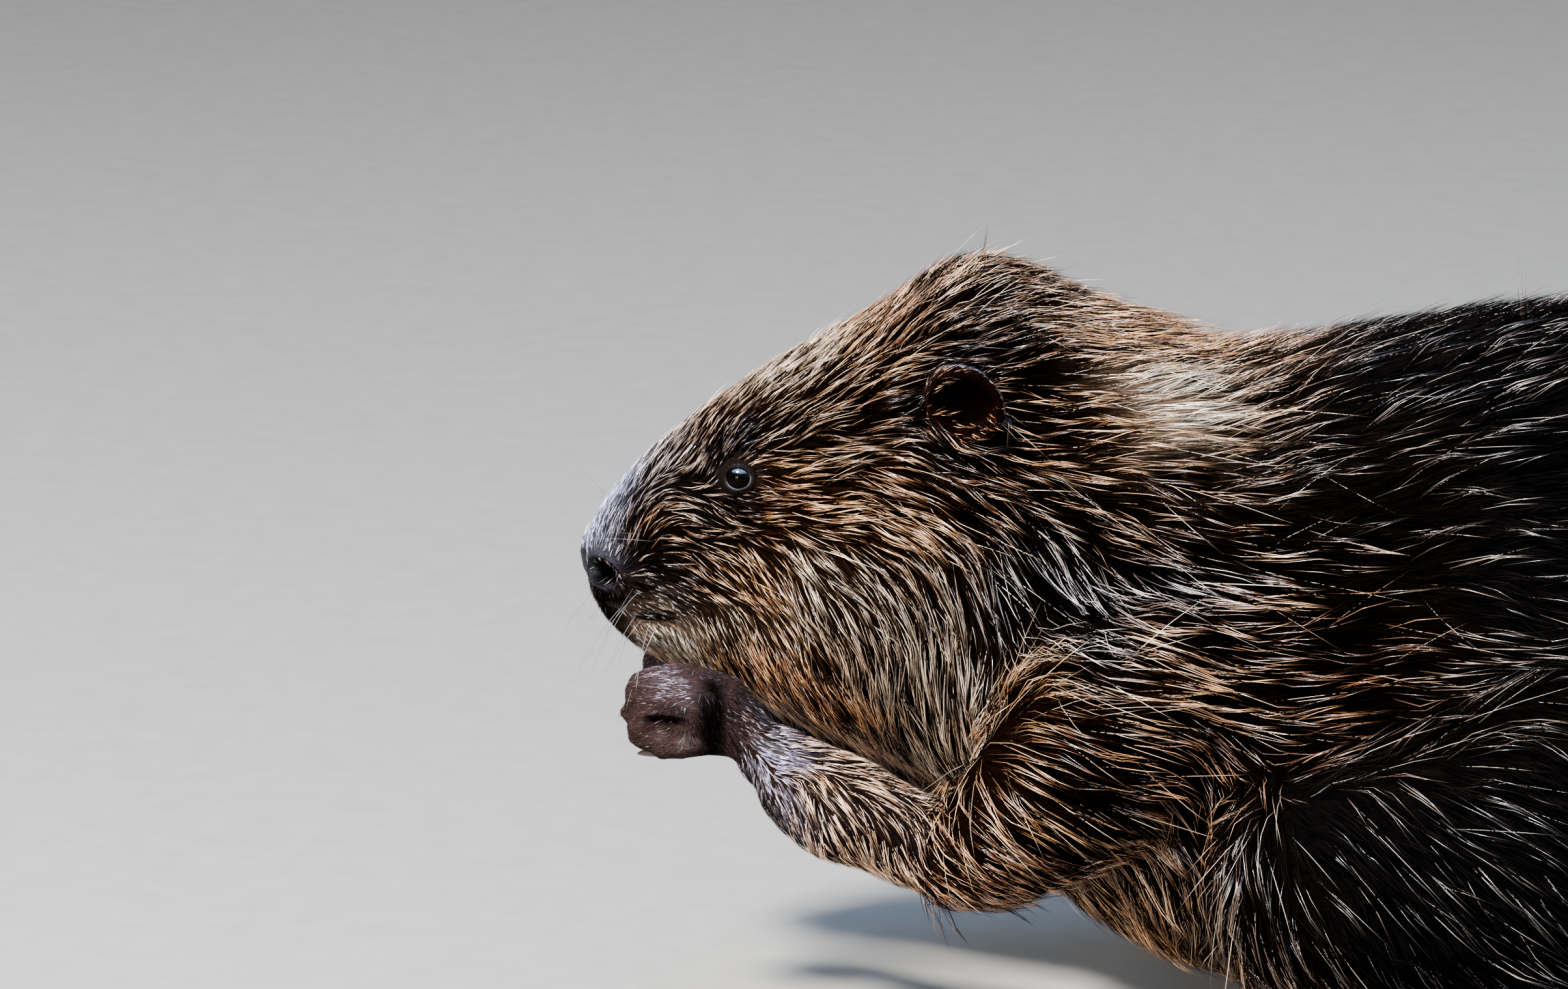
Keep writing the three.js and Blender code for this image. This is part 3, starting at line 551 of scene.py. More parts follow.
# ---------------------------------------------------------------- the eyelids
# Each eye lies between two fleshy lids: a dark, heavy upper fold, and a lower rim that is pale and naked. The
# lids are thick skin that is drawn round the eyeball, and they run on into the skin of the face.
LID_TURNS = 84
LID_LINE = {0: 3.5, 60: 4.0, 100: 4.4, 150: 4.1, 190: 3.9, 235: 4.2, 270: 4.2, 320: 3.7}  # half opening in mm
LID_PROFILE = [  # distance out from the opening, rise over the eyeball's edge, in mm
    (-0.35, -0.7),
    (-0.2, 0.0),
    (0.0, 0.20),
    (0.15, 0.28),
    (0.35, 0.22),
    (0.6, 0.0),
    (0.85, -0.25),
    (1.1, -0.45),
    (1.5, -1.0),
    (2.0, -1.9),
    (2.7, -3.0),
    (3.7, -4.6),
]
LID_FOLD = [0, 0, 0.08, 0.35, 0.7, 0.6, 0.15, 0.35, 0.3, 0.1, 0, 0]  # how much more each rises on the upper lid
LID_PALE = [0.1, 0.4, 1.0, 0.9, 0.3, 0.1, 0.05, 0, 0, 0, 0, 0]  # how pale it is where the lid is naked
LID_REAR, LID_FRONT = 262, 140  # the middles of the two naked stretches of the rim, in degrees from the top
LID_NAKED_RUN = 34  # how far each of them runs
LID_WRINKLE, LID_WRINKLES = 0.05, 17
LID_TILT = 8  # how far in degrees the upper lid leans
LID_CURVE_ROUNDS = 6  # how often its line is evened out
LID_DARK_SKIN = np.array((0.0018, 0.0011, 0.0010))
LID_PALE_SKIN = np.array((0.022, 0.020, 0.024))
EYE_LOOK = {"left": (-0.20, -0.93, 0.16), "right": (-0.20, 0.93, 0.16)}


def eye_frame(side_word):
    """Outward, upward and forward directions of an eye."""
    outward = np.array(EYE_LOOK[side_word])
    outward /= np.linalg.norm(outward)
    upward = np.array((0.0, 0.0, 1.0)) - outward * outward[2]
    upward /= np.linalg.norm(upward)
    forward = np.cross(outward, upward)
    if forward[0] > 0:
        forward = -forward
    return outward, upward, forward


def mesh_piece(name, points, faces, colours=None, bake_uv=None):
    """A new smooth-shaded object from arrays of places and of triangles or quads."""
    mesh = bpy.data.meshes.new(name)
    points, faces = np.asarray(points, dtype=np.float32), np.asarray(faces, dtype=np.int32)
    sides = faces.shape[1]
    mesh.vertices.add(len(points))
    mesh.vertices.foreach_set("co", points.ravel())
    mesh.loops.add(faces.size)
    mesh.polygons.add(len(faces))
    mesh.polygons.foreach_set("loop_start", np.arange(0, faces.size, sides, dtype=np.int32))
    mesh.polygons.foreach_set("vertices", faces.ravel())
    mesh.polygons.foreach_set("use_smooth", np.ones(len(faces), dtype=bool))
    mesh.update(calc_edges=True)
    if colours is not None:
        paint(mesh, colours)
    if bake_uv is not None:
        layer = mesh.uv_layers.new(name="OFBake")
        layer.data.foreach_set("uv", bake_uv[faces.ravel()].astype(np.float32).ravel())
    mesh.validate()
    piece = bpy.data.objects.new(name, mesh)
    bpy.context.scene.collection.objects.link(piece)
    return piece


def paint(mesh, colours):
    """Keeps a colour for every vertex in the attribute called marking."""
    if "marking" not in mesh.attributes:
        mesh.color_attributes.new("marking", "FLOAT_COLOR", "POINT")
    rgba = np.hstack([colours, np.ones((len(colours), 1))])
    mesh.attributes["marking"].data.foreach_set("color", rgba.astype(np.float32).ravel())


turn = np.linspace(0, 360, LID_TURNS, endpoint=False)
stops = sorted(LID_LINE)
opening = np.interp(turn, stops + [360], [LID_LINE[s] for s in stops] + [LID_LINE[0]])
for _ in range(LID_CURVE_ROUNDS):
    opening = (np.roll(opening, 1) + 2 * opening + np.roll(opening, -1)) / 4
upper = np.clip(np.cos(np.radians(turn - LID_TILT)) * 1.6 + 0.25, 0, 1)
naked = sum(np.exp(-(((turn - middle) / LID_NAKED_RUN) ** 2)) for middle in (LID_REAR, LID_FRONT))
eyelids = []
for side_word, centre in EYE_CENTRES.items():
    outward, upward, forward = eye_frame(side_word)
    radius_mm = EYE_RADIUS * 1000
    points, colours = [], []
    for row, (out, rise) in enumerate(LID_PROFILE):
        wrinkle = LID_WRINKLE * np.sin(np.radians(turn) * LID_WRINKLES + row) * (2 <= row <= 9)
        reach = opening + out * (1 + 0.25 * (1 - upper))
        height = np.sqrt(radius_mm**2 - opening**2) + rise + LID_FOLD[row] * upper + wrinkle
        angle = np.radians(turn)
        spot = upward[None] * np.cos(angle)[:, None] + forward[None] * np.sin(angle)[:, None]
        points.append(np.array(centre)[None] + (spot * reach[:, None] + outward[None] * height[:, None]) / 1000)
        pale_part = (LID_PALE[row] * naked)[:, None]
        colours.append(LID_DARK_SKIN * (1 - pale_part) + LID_PALE_SKIN * pale_part)
    faces = []
    for row in range(len(LID_PROFILE) - 1):
        for i in range(LID_TURNS):
            j = (i + 1) % LID_TURNS
            a, b = row * LID_TURNS, (row + 1) * LID_TURNS
            quad = (a + i, a + j, b + j, b + i)
            faces.append(quad if side_word == "left" else quad[::-1])
    lid = mesh_piece("eyelid_" + side_word, np.concatenate(points), faces, np.concatenate(colours))
    eyelids.append(lid)

# ---------------------------------------------------------------- the skin's colours and unwrap
# Under the fur the skin looks nearly black, since little light gets down to it. The nose is dark wet leather,
# the soles and toes are plum grey, and the ears are naked and dark inside, with painted shade in their hollow.
# Painted shade also darkens the nostrils, the crease at the wrist and the slit of the fist.
NOSE_SKIN = np.array((0.003, 0.0028, 0.0034))
SOLE_SKIN = np.array((0.0075, 0.0042, 0.0038))
EAR_SKIN = np.array((0.0012, 0.0004, 0.0003))
ARM_SKIN = np.array((0.0026, 0.0013, 0.0009))
UNDER_FUR = 0.2  # how dark the skin is beside the dark hairs
ROUND_THE_LIDS = 0.0095
EAR_HOLLOW_PAINTED_SHADE, EAR_RIM_TONE = 0.4, 3  # brightness in the hollow of the ear, darker than its rim as painted shade in the bowl, and how much its rim adds
NOSE_WET, PAW_WET, ARM_WET, LID_WET = 0.40, 0.10, 0.05, 0.12
hide_colours = dark * UNDER_FUR
is_nose = owners == "nose"
hide_colours[is_nose] = NOSE_SKIN
hide_colours[(kinds == HAND) | (kinds == FOOT)] = ARM_SKIN
paws = np.array([name.startswith(("forepaw", "hindfoot")) for name in owners])
hide_colours[paws] = SOLE_SKIN
PAW_CLEFTS = [  # place and reach in mm of the deep crease at the wrist, and of the slit between finger and pad, where shade is painted onto the skin
    ((47.5, 52.0, 114.0), (5.5, 12.0, 19.0)),
    ((31.0, 46.5, 111.4), (9.0, 6.0, 1.9)),
]
CLEFT_EDGE, CLEFT_FALL, CLEFT_PAINTED_SHADE = 1.25, 1.6, 0.95
crease_painted_shade = np.zeros(len(places))
for spot, reach in PAW_CLEFTS:
    crease_painted_shade = np.maximum(crease_painted_shade, np.clip((CLEFT_EDGE - shares_off(places, spot, reach)) * CLEFT_FALL, 0, 1))
crease_painted_shade *= kinds == HAND
# painted shade in the crease at the wrist and in the slit of the fist
hide_colours *= (1 - CLEFT_PAINTED_SHADE * crease_painted_shade)[:, None]
ear_points = np.flatnonzero(kinds == EAR)
ear_centre = np.abs(places[ear_points]).mean(0) * (-1, 1, 1)
ear_reach = np.linalg.norm((np.abs(places[ear_points]) * (-1, 1, 1) - ear_centre)[:, [0, 2]], axis=1)
ear_rim = np.clip(ear_reach / ear_reach.max() * 2.2 - 1.1, 0, 1)
# painted shade: the hollow of the ear is darker than its rim
hide_colours[ear_points] = EAR_SKIN * (EAR_HOLLOW_PAINTED_SHADE + EAR_RIM_TONE * ear_rim[:, None])
hide_colours[near_eye < ROUND_THE_LIDS] = LID_DARK_SKIN
# painted shade inside the nostrils
hide_colours *= (1 - painted_opening_shade)[:, None] ** 2
wetness = np.select([is_nose, paws, kinds == HAND], [NOSE_WET, PAW_WET, ARM_WET], 0.0)
# the wet gloss is taken off where shade is painted
wetness = wetness * (1 - crease_painted_shade) * (1 - painted_opening_shade)
paint(hide.data, hide_colours)
skin_points = len(hide.data.vertices)
select_only(hide, *eyelids)
bpy.ops.object.join()
bpy.ops.object.mode_set(mode="EDIT")
bpy.ops.mesh.select_all(action="SELECT")
bpy.ops.uv.smart_project(angle_limit=1.15, island_margin=0.001)
bpy.ops.object.mode_set(mode="OBJECT")
hide.data.uv_layers[0].name = "OFBake"


class Wire:
    """A number that runs along a shader's wires, and can be used in a sum."""

    def __init__(self, finish, socket):
        self.finish = finish
        self.socket = socket

    def sum(self, operation, *others):
        values = [other.socket if isinstance(other, Wire) else other for other in (self, *others)]
        return self.finish.node("ShaderNodeMath", {"operation": operation}, dict(enumerate(values)))

    def __add__(self, other):
        return self.sum("ADD", other)

    def __mul__(self, other):
        return self.sum("MULTIPLY", other)

    def __sub__(self, other):
        return self.sum("SUBTRACT", other)

    def __rsub__(self, other):
        return (self * -1) + other

    __radd__ = __add__
    __rmul__ = __mul__


class Finish:
    """A material, its shader and the nodes that drive it."""

    def __init__(self, name, **shader):
        self.material = bpy.data.materials.new(name)
        self.material.use_nodes = True
        self.shader = self.material.node_tree.nodes["Principled BSDF"]
        for key, value in shader.items():
            self.shader.inputs[key.replace("_", " ").title().replace("Ior", "IOR")].default_value = value

    def node(self, kind, settings=None, inputs=None, output=0):
        made = self.material.node_tree.nodes.new(kind)
        for key, value in (settings or {}).items():
            if key == "stops":
                for stop, (place, colour) in zip(ramp_stops(made, len(value)), value):
                    stop.position = place
                    stop.color = (*colour, 1)
            else:
                setattr(made, key, value)
        for key, value in (inputs or {}).items():
            if isinstance(value, Wire):
                value = value.socket
            if isinstance(value, bpy.types.NodeSocket):
                self.material.node_tree.links.new(value, made.inputs[key])
            else:
                made.inputs[key].default_value = value
        return Wire(self, made.outputs[output])

    def drive(self, **wires):
        for key, wire in wires.items():
            self.material.node_tree.links.new(wire.socket, self.shader.inputs[key.replace("_", " ").title()])

    def place(self):
        return self.node("ShaderNodeTexCoord", output="Object")

    def noise(self, scale, detail=3.0, roughness=0.55, vector=None):
        return self.node(
            "ShaderNodeTexNoise",
            inputs={"Vector": vector or self.place(), "Scale": scale, "Detail": detail, "Roughness": roughness},
        )

    def marking(self):
        return self.node("ShaderNodeVertexColor", {"layer_name": "marking"})

    def shaded(self, colour, brightness):
        """A colour made lighter or darker by a wire whose middle is 1."""
        vector = self.node("ShaderNodeCombineXYZ", inputs={0: brightness, 1: brightness, 2: brightness})
        return self.node("ShaderNodeVectorMath", {"operation": "MULTIPLY"}, {0: colour, 1: vector})

    def bump(self, height, strength, distance):
        return self.node("ShaderNodeBump", inputs={"Height": height, "Strength": strength, "Distance": distance})


def ramp_stops(node, count):
    stops = node.color_ramp.elements
    while len(stops) < count:
        stops.new(0.5)
    return stops


wet_layer = hide.data.attributes.new("wet", "FLOAT", "POINT")
wet_values = np.full(len(hide.data.vertices), LID_WET)
wet_values[:skin_points] = wetness
wet_layer.data.foreach_set("value", wet_values.astype(np.float32))
skin = Finish("skin", roughness=0.6, specular_ior_level=0.0, coat_roughness=0.30, coat_ior=1.36)
pores = skin.noise(1500, 4, 0.6)
HAIR_LINES = (260, 900, 2100)  # fineness along, across and up
drawn_out = skin.node("ShaderNodeVectorMath", {"operation": "MULTIPLY"}, {0: skin.place(), 1: HAIR_LINES})
hair_lines = skin.noise(1.0, 3, 0.6, drawn_out)
creases = skin.node(
    "ShaderNodeTexVoronoi", {"feature": "DISTANCE_TO_EDGE"}, {"Vector": skin.place(), "Scale": 800}
)
wet = skin.node("ShaderNodeAttribute", {"attribute_name": "wet"}, output="Fac")
skin.drive(
    base_color=skin.shaded(skin.marking(), pores * 0.5 + hair_lines * 2.6 - 0.55),
    roughness=pores * 0.3 + 0.3,
    coat_weight=wet * hair_lines * 1.2,
    normal=skin.bump(creases * 0.5 + pores * 0.4 + hair_lines * 1.6, 0.6, 0.0006),
)
hide.data.materials.append(skin.material)
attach(hide, "root")
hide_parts(*FLESH)

# ---------------------------------------------------------------- the eyes
# Small, round and nearly black: a wet clear front over a dark brown iris. The lids hold them in the skin, and
# the wet gleam is cut on the lower part of each as painted shade of its lid.
EYE_BLACK, IRIS_BROWN = np.array((0.0002, 0.0002, 0.0002)), np.array((0.0005, 0.0003, 0.0002))
CORNEA_RISE, CORNEA_FROM = 0.035, 0.75  # how far the front bulges, and where it starts, in shares of the radius
IRIS_FROM, PUPIL_FROM = 0.80, 0.94
GLEAM_FROM, GLEAM_FULL, GLEAM_LEAST = 0.24, 0.32, 0.01
eye_finish = Finish("eye", roughness=0.4, specular_ior_level=0.0, coat_roughness=0.03, coat_ior=2.3)
for side_word, centre in EYE_CENTRES.items():
    bpy.ops.mesh.primitive_uv_sphere_add(segments=64, ring_count=40, radius=EYE_RADIUS, location=(0, 0, 0))
    eye = bpy.context.object
    eye.name = eye.data.name = "eyeball_" + side_word
    outward, upward, forward = eye_frame(side_word)
    places, _ = mesh_arrays(eye)
    on_ball = places / EYE_RADIUS
    toward = on_ball[:, 2]
    bulge = 1 + CORNEA_RISE * np.clip((toward - CORNEA_FROM) / (1 - CORNEA_FROM), 0, 1) ** 1.5
    handed = np.cross(upward, outward)
    placed = on_ball[:, :1] * handed[None] + on_ball[:, 1:2] * upward[None] + on_ball[:, 2:] * outward[None]
    placed = placed * (EYE_RADIUS * bulge)[:, None] + np.array(centre)[None]
    place_vertices(eye, placed)
    shade_smooth(eye)
    iris = np.clip((toward - IRIS_FROM) / 0.06, 0, 1)[:, None]
    pupil = np.clip((toward - PUPIL_FROM) / 0.02, 0, 1)[:, None]
    tone = EYE_BLACK * (1 - iris) + IRIS_BROWN * iris
    paint(eye.data, tone * (1 - pupil) + EYE_BLACK * pupil)
    # gleam is the weight of the wet coat: low on the lower part of the eye, a painted shade of the lid over its
    # reflection
    gleam_values = np.interp(on_ball[:, 1], (GLEAM_FROM, GLEAM_FULL), (GLEAM_LEAST, 1.0))
    gleam_layer = eye.data.attributes.new("gleam", "FLOAT", "POINT")
    gleam_layer.data.foreach_set("value", gleam_values.astype(np.float32))
    eye.data.materials.append(eye_finish.material)
    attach(eye, "root")
    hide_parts("eye_" + side_word)
veins = eye_finish.noise(900, 3)
gleam = eye_finish.node("ShaderNodeAttribute", {"attribute_name": "gleam"}, output="Fac")
eye_finish.drive(base_color=eye_finish.shaded(eye_finish.marking(), veins * 1.2 + 0.4), coat_weight=gleam)

# ---------------------------------------------------------------- the claws
# Strong blunt claws of dark brown horn with a fine grain. Each grows out of the end of a finger or a toe.
claw = Finish("claw", roughness=0.32, specular_ior_level=0.25)
grain = claw.noise(500, 4)
claw.drive(
    base_color=claw.node(
        "ShaderNodeValToRGB",
        {"stops": [(0.3, (0.008, 0.005, 0.004)), (0.6, (0.022, 0.014, 0.010)), (0.8, (0.05, 0.036, 0.026))]},
        {0: grain},
    ),
    roughness=grain * 0.3 + 0.2,
    normal=claw.bump(grain, 0.3, 0.0004),
)
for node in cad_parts:
    if node.startswith("claw_"):
        piece = merged_copy(node, "horn_" + node[5:])
        finish_with(piece, "SUBSURF", levels=1, render_levels=1)
        shade_smooth(piece)
        piece.data.materials.append(claw.material)
        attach(piece, "root")
        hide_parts(node)

# ---------------------------------------------------------------- the tail paddle
# A broad flat paddle of dark leather. Both faces are covered with low horny scales in staggered rows, which
# get smaller towards the edges, and it has hardly a hair.
PADDLE_CELL, PADDLE_SINK = 0.0016, 0.0004
SCALE_LONG, SCALE_WIDE = 0.0062, 0.0074
SCALES_ACROSS = 12  # on each side of the middle
SCALE_RIM_DEPTH, SCALE_TOP = 0.0004, 0.00062  # how deep a rim sits in the leather, and how far its top stands out
RIM_TONE, TOP_TONE = np.array((0.0026, 0.0021, 0.0019)), np.array((0.0095, 0.0077, 0.0070))
paddle = merged_copy("tail", "paddle")
finish_with(paddle, "REMESH", mode="VOXEL", voxel_size=PADDLE_CELL)
finish_with(paddle, "SMOOTH", factor=0.5, iterations=8)
finish_with(paddle, "DECIMATE", ratio=0.5)
shade_smooth(paddle)
places, normals = mesh_arrays(paddle)
place_vertices(paddle, places - normals * PADDLE_SINK)
paddle_tree = BVHTree.FromObject(paddle, bpy.context.evaluated_depsgraph_get())
tail_low, tail_high = (np.array(corner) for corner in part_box("tail"))
leather = Finish("tail_leather", roughness=0.45, specular_ior_level=0.3)
leather_grain = leather.noise(650, 5)
leather.drive(
    base_color=leather.node(
        "ShaderNodeValToRGB",
        {"stops": [(0.3, (0.0022, 0.0018, 0.0017)), (0.7, (0.0065, 0.0053, 0.0048))]},
        {0: leather_grain},
    ),
    roughness=leather_grain * 0.3 + 0.3,
    normal=leather.bump(leather_grain, 0.5, 0.0005),
)
paddle.data.materials.append(leather.material)
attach(paddle, "root")
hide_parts("tail")

rng = np.random.default_rng(11)
plates, plate_faces, plate_tones = [], [], []
for face_up in (1, -1):
    rows_of_scales = np.arange(tail_low[0] + 0.004, tail_high[0] - 0.001, SCALE_LONG * 0.78)
    for row, along in enumerate(rows_of_scales):
        for step in np.arange(-SCALES_ACROSS, SCALES_ACROSS + 1) + 0.5 * (row % 2):
            aside = step * SCALE_WIDE * 0.93
            start = Vector((along + rng.normal(0, 0.0003), aside + rng.normal(0, 0.0003), face_up * 0.2))
            hit, normal, _, _ = paddle_tree.ray_cast(start, Vector((0, 0, -face_up)))
            if hit is None or abs(normal.z) < 0.45:
                continue
            margin = 1 - min(1, abs(aside) / (tail_high[1])) ** 3
            size = (0.72 + 0.28 * margin) * rng.uniform(0.92, 1.06)
            up = np.array(normal)
            back = np.array((1.0, 0, 0)) - up * up[0]
            back /= np.linalg.norm(back)
            across = np.cross(up, back)
            rim, crown_ring = [], []
            for k in range(6):
                angle = math.radians(60 * k + 30)
                out = back * math.cos(angle) * SCALE_LONG * 0.56 * size
                out = out + across * math.sin(angle) * SCALE_WIDE * 0.56 * size
                rim.append(np.array(hit) + out - up * SCALE_RIM_DEPTH)
                crown_ring.append(np.array(hit) + out * 0.66 + back * 0.0003 + up * rng.uniform(0.00042, 0.00055))
            first = len(plates)
            plates += rim + crown_ring + [np.array(hit) + up * SCALE_TOP + back * 0.0004]
            for k in range(6):
                n = (k + 1) % 6
                plate_faces += [(first + k, first + n, first + 6 + n), (first + k, first + 6 + n, first + 6 + k)]
                plate_faces.append((first + 6 + k, first + 6 + n, first + 12))
            plate_faces += [(first, first + 2, first + 1), (first, first + 3, first + 2)]
            plate_faces += [(first, first + 4, first + 3), (first, first + 5, first + 4)]
            shade = rng.uniform(0.7, 1.35)
            plate_tones += [RIM_TONE * shade] * 6 + [TOP_TONE * shade] * 7
plates = np.array(plates)
plates[:, 2] = np.maximum(plates[:, 2], 0)  # the tail lies flat on the floor
scale_uv = (plates[:, :2] - tail_low[:2]) / (tail_high[0] - tail_low[0]) * 0.7
scale_uv[plates[:, 2] < (tail_low[2] + tail_high[2]) / 2] += (0.0, 0.45)
scales = mesh_piece("tail_scales", plates, plate_faces, np.array(plate_tones), np.clip(scale_uv, 0, 1))
scale_finish = Finish("tail_scale", roughness=0.4, specular_ior_level=0.32)
scale_grain = scale_finish.noise(900, 4)
scale_finish.drive(
    base_color=scale_finish.shaded(scale_finish.marking(), scale_grain * 0.9 + 0.55),
    roughness=scale_grain * 0.35 + 0.22,
    normal=scale_finish.bump(scale_grain, 0.4, 0.0004),
)
scales.data.materials.append(scale_finish.material)
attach(scales, "root")

# ---------------------------------------------------------------- the coat
# Locks of wet guard hair over the whole hide. A lock is three to six strands which start apart and meet in a
# point. It rises from the skin, lies over as the comb map says, and follows the body to its tip.
LONG_STATIONS = np.array((0, 1 / 3, 2 / 3, 1))  # where a strand bends, in shares of its length
SHORT_STATIONS = np.array((0, 1 / 2, 1))
TINY_STATIONS = np.array((0, 1))
LONG_FROM, TINY_UNTIL = 0.0215, 0.0045  # hair lengths that take the first and the last of these
rng = np.random.default_rng(7)


def strand_arrays(paths, radii, aside, upward):
    """Three-sided tapering strands: paths (n, k, 3), radii (n, k - 1), two directions across each path."""
    count, stations, _ = paths.shape
    corners = np.radians((90, 210, 330))
    across = np.cos(corners)[None, None, :, None] * aside[:, :-1, None] * 1.15
    over = np.sin(corners)[None, None, :, None] * upward[:, :-1, None] * 0.85
    rings = paths[:, :-1, None] + radii[:, :, None, None] * (across + over)
    points = np.concatenate([rings.reshape(count, -1, 3), paths[:, -1:]], axis=1)
    faces = [(0, 2, 1)]
    for j in range(stations - 2):
        for i in range(3):
            a, b = 3 * j + i, 3 * j + (i + 1) % 3
            faces += [(a, b, b + 3), (a, b + 3, a + 3)]
    last = 3 * (stations - 2)
    faces += [(last + i, last + (i + 1) % 3, last + 3) for i in range(3)]
    offsets = (np.arange(count) * points.shape[1])[:, None, None]
    return points, (np.array(faces)[None] + offsets).reshape(-1, 3)


hide.data.calc_loop_triangles()
triangle_count = len(hide.data.loop_triangles)
corner_points = np.empty(triangle_count * 3, dtype=np.int32)
corner_loops = np.empty(triangle_count * 3, dtype=np.int32)
hide.data.loop_triangles.foreach_get("vertices", corner_points)
hide.data.loop_triangles.foreach_get("loops", corner_loops)
corner_points, corner_loops = corner_points.reshape(-1, 3), corner_loops.reshape(-1, 3)
hide_uv = np.empty(len(hide.data.loops) * 2)
hide.data.uv_layers["OFBake"].data.foreach_get("uv", hide_uv)
hide_uv = hide_uv.reshape(-1, 2)
hide_places, hide_normals = mesh_arrays(hide)
of_hide = (corner_points < skin_points).all(1)
corner_points, corner_loops = corner_points[of_hide], corner_loops[of_hide]

# bare places: round the eyes, the nose leather, soles, palms, the hollow of the ears
BARE_ROUND_EYE = 0.0050
NOSE_PAD_LONG, NOSE_PAD_TOP = 0.009, 0.1610
SOLE_FACING = -0.35  # how far the skin of a paw faces down where it is bare
BARE_UNDER = 0.0012  # height over the floor
from_nose, height = hide_places[:skin_points, 0] - NOSE_TIP, hide_places[:skin_points, 2]
bare = near_eye < BARE_ROUND_EYE
bare |= is_nose & (hide_places[:skin_points, 0] < NOSE_TIP + NOSE_PAD_LONG) & (height < NOSE_PAD_TOP)
bare |= painted_opening_shade > 0.5
bare |= paws & (hide_normals[:skin_points, 2] < SOLE_FACING)
bare[ear_points] |= (ear_rim < 0.03) & (hide_normals[ear_points, 0] < 0.5)
bare |= height < BARE_UNDER

# the roots are scattered evenly, at a spacing that grows with the length of the hair
SPACING_OF_LENGTH, LEAST_SPACING = 0.120, 0.0006
TRIES, CLOSEST = 3.2, 0.83  # places tried for each root, and how close two may be in shares of the spacing
a, b, c = (hide_places[corner_points[:, i]] for i in range(3))
face_areas = np.linalg.norm(np.cross(b - a, c - a), axis=1) / 2
spread = SPACING_OF_LENGTH * length + LEAST_SPACING
spread *= np.interp(from_nose, (0.0, 0.30, 0.42, 0.56), (0.98, 1.0, 1.3, 1.5))
spread[kinds == FOOT] *= 1.3
spread[(kinds == HAND) & paws] *= 0.9
spread[(kinds == HAND) & ~paws] *= 0.8
face_spread = spread[corner_points].mean(1)
furred = ~bare[corner_points].any(1)
wanted = np.where(furred, face_areas / face_spread**2, 0)
candidates = int(wanted.sum() * TRIES)
chosen = rng.choice(len(wanted), size=candidates, p=wanted / wanted.sum())
share_b, share_c = rng.random(candidates), rng.random(candidates)
flip = share_b + share_c > 1
share_b[flip], share_c[flip] = 1 - share_b[flip], 1 - share_c[flip]
mix = np.stack([1 - share_b - share_c, share_b, share_c], axis=1)[:, :, None]
candidate_points = (hide_places[corner_points[chosen]] * mix).sum(1)
near = point_tree(candidate_points, range(candidates))
taken = np.zeros(candidates, dtype=bool)
kept = []
candidate_spread = face_spread[chosen] * CLOSEST
for i, (p, gap) in enumerate(zip(candidate_points.tolist(), candidate_spread.tolist())):
    if not taken[i]:
        kept.append(i)
        for _, j, _ in near.find_range(p, gap):
            taken[j] = True
kept = np.array(kept)
roots = candidate_points[kept]
root_corners = corner_points[chosen[kept]]
root_mix = mix[kept]
root_uv = (hide_uv[corner_loops[chosen[kept]]] * root_mix).sum(1)
root_kinds = kinds[root_corners[:, 0]]
root_normals = unit((hide_normals[root_corners] * root_mix).sum(1))
lock_count = len(roots)

_, lock_length, lock_depth, lock_share, lock_dark, lock_pale = whole_lie(roots, root_normals, root_kinds)
lock_length *= rng.uniform(0.78, 1.15, lock_count)
lock_swerve = rng.normal(0, math.radians(5), lock_count)
DRIFT_GRAIN, DRIFT_TURN = 95, math.radians(30)
FULL_DRIFT = 0.016  # length from which a lock takes the whole of the drift
KEEPS_COURSE = 0.6  # how much of its last direction a lock keeps


def drift_at(points):
    """A gentle turn of the lie that is shared by neighbouring locks, so that they lean together and part."""
    return np.array([noise.noise(Vector(p) * DRIFT_GRAIN) for p in points.tolist()]) * DRIFT_TURN


drift_share = np.clip(lock_length / FULL_DRIFT, 0.3, 1.0)
hide_tree = BVHTree.FromPolygons(hide_places[:skin_points].tolist(), corner_points.tolist())
guide, guide_normals, guide_combs = [roots], [root_normals], []
for step in range(4):
    at, normal = guide[-1], guide_normals[-1]
    comb_here = whole_lie(at, normal, root_kinds)[0]
    aside = np.cross(normal, comb_here)
    swerve = lock_swerve + drift_at(at) * drift_share
    comb_here = comb_here * np.cos(swerve)[:, None] + aside * np.sin(swerve)[:, None]
    if guide_combs:
        last = guide_combs[-1] - normal * (guide_combs[-1] * normal).sum(1, keepdims=True)
        comb_here = unit(comb_here + KEEPS_COURSE * last)
    guide_combs.append(comb_here)
    if step == 3:
        break
    stride = (lock_length / 3)[:, None]
    target = at + comb_here * stride
    landed, landed_normals = target.copy(), normal.copy()
    for i, p in enumerate(target.tolist()):
        spot, _, face, gap = hide_tree.find_nearest(p)
        if gap < 0.5 * stride[i, 0]:
            landed[i] = spot
            landed_normals[i] = hide_normals[corner_points[face]].mean(0)
    guide.append(landed)
    guide_normals.append(unit(landed_normals))
    lock_swerve = lock_swerve + rng.normal(0, math.radians(3), lock_count)
guide, guide_normals, guide_combs = (np.stack(part, axis=1) for part in (guide, guide_normals, guide_combs))
guide_sides = np.cross(guide_normals, guide_combs)
CLEAR_OF_EYE = 0.0046
NOSTRIL_REACH = (6.2, 9.0, 3.6)
in_the_way = (shares_off(guide, NOSTRIL, NOSTRIL_REACH) < 1).any(1)  # locks over a nostril or an eye are left out
for side_word, centre in EYE_CENTRES.items():
    front = np.array(centre) + eye_frame(side_word)[0] * EYE_RADIUS
    in_the_way |= (np.linalg.norm(guide - front[None, None], axis=2) < CLEAR_OF_EYE).any(1)


def along_guide(column, lock, t):
    """A guide's value at a share t of its length, for each strand."""
    spot = np.clip(t * 3, 0, 2.999)
    low = spot.astype(int)
    part = (t * 3 - low)[:, None]
    return column[lock, low] * (1 - part) + column[lock, low + 1] * part


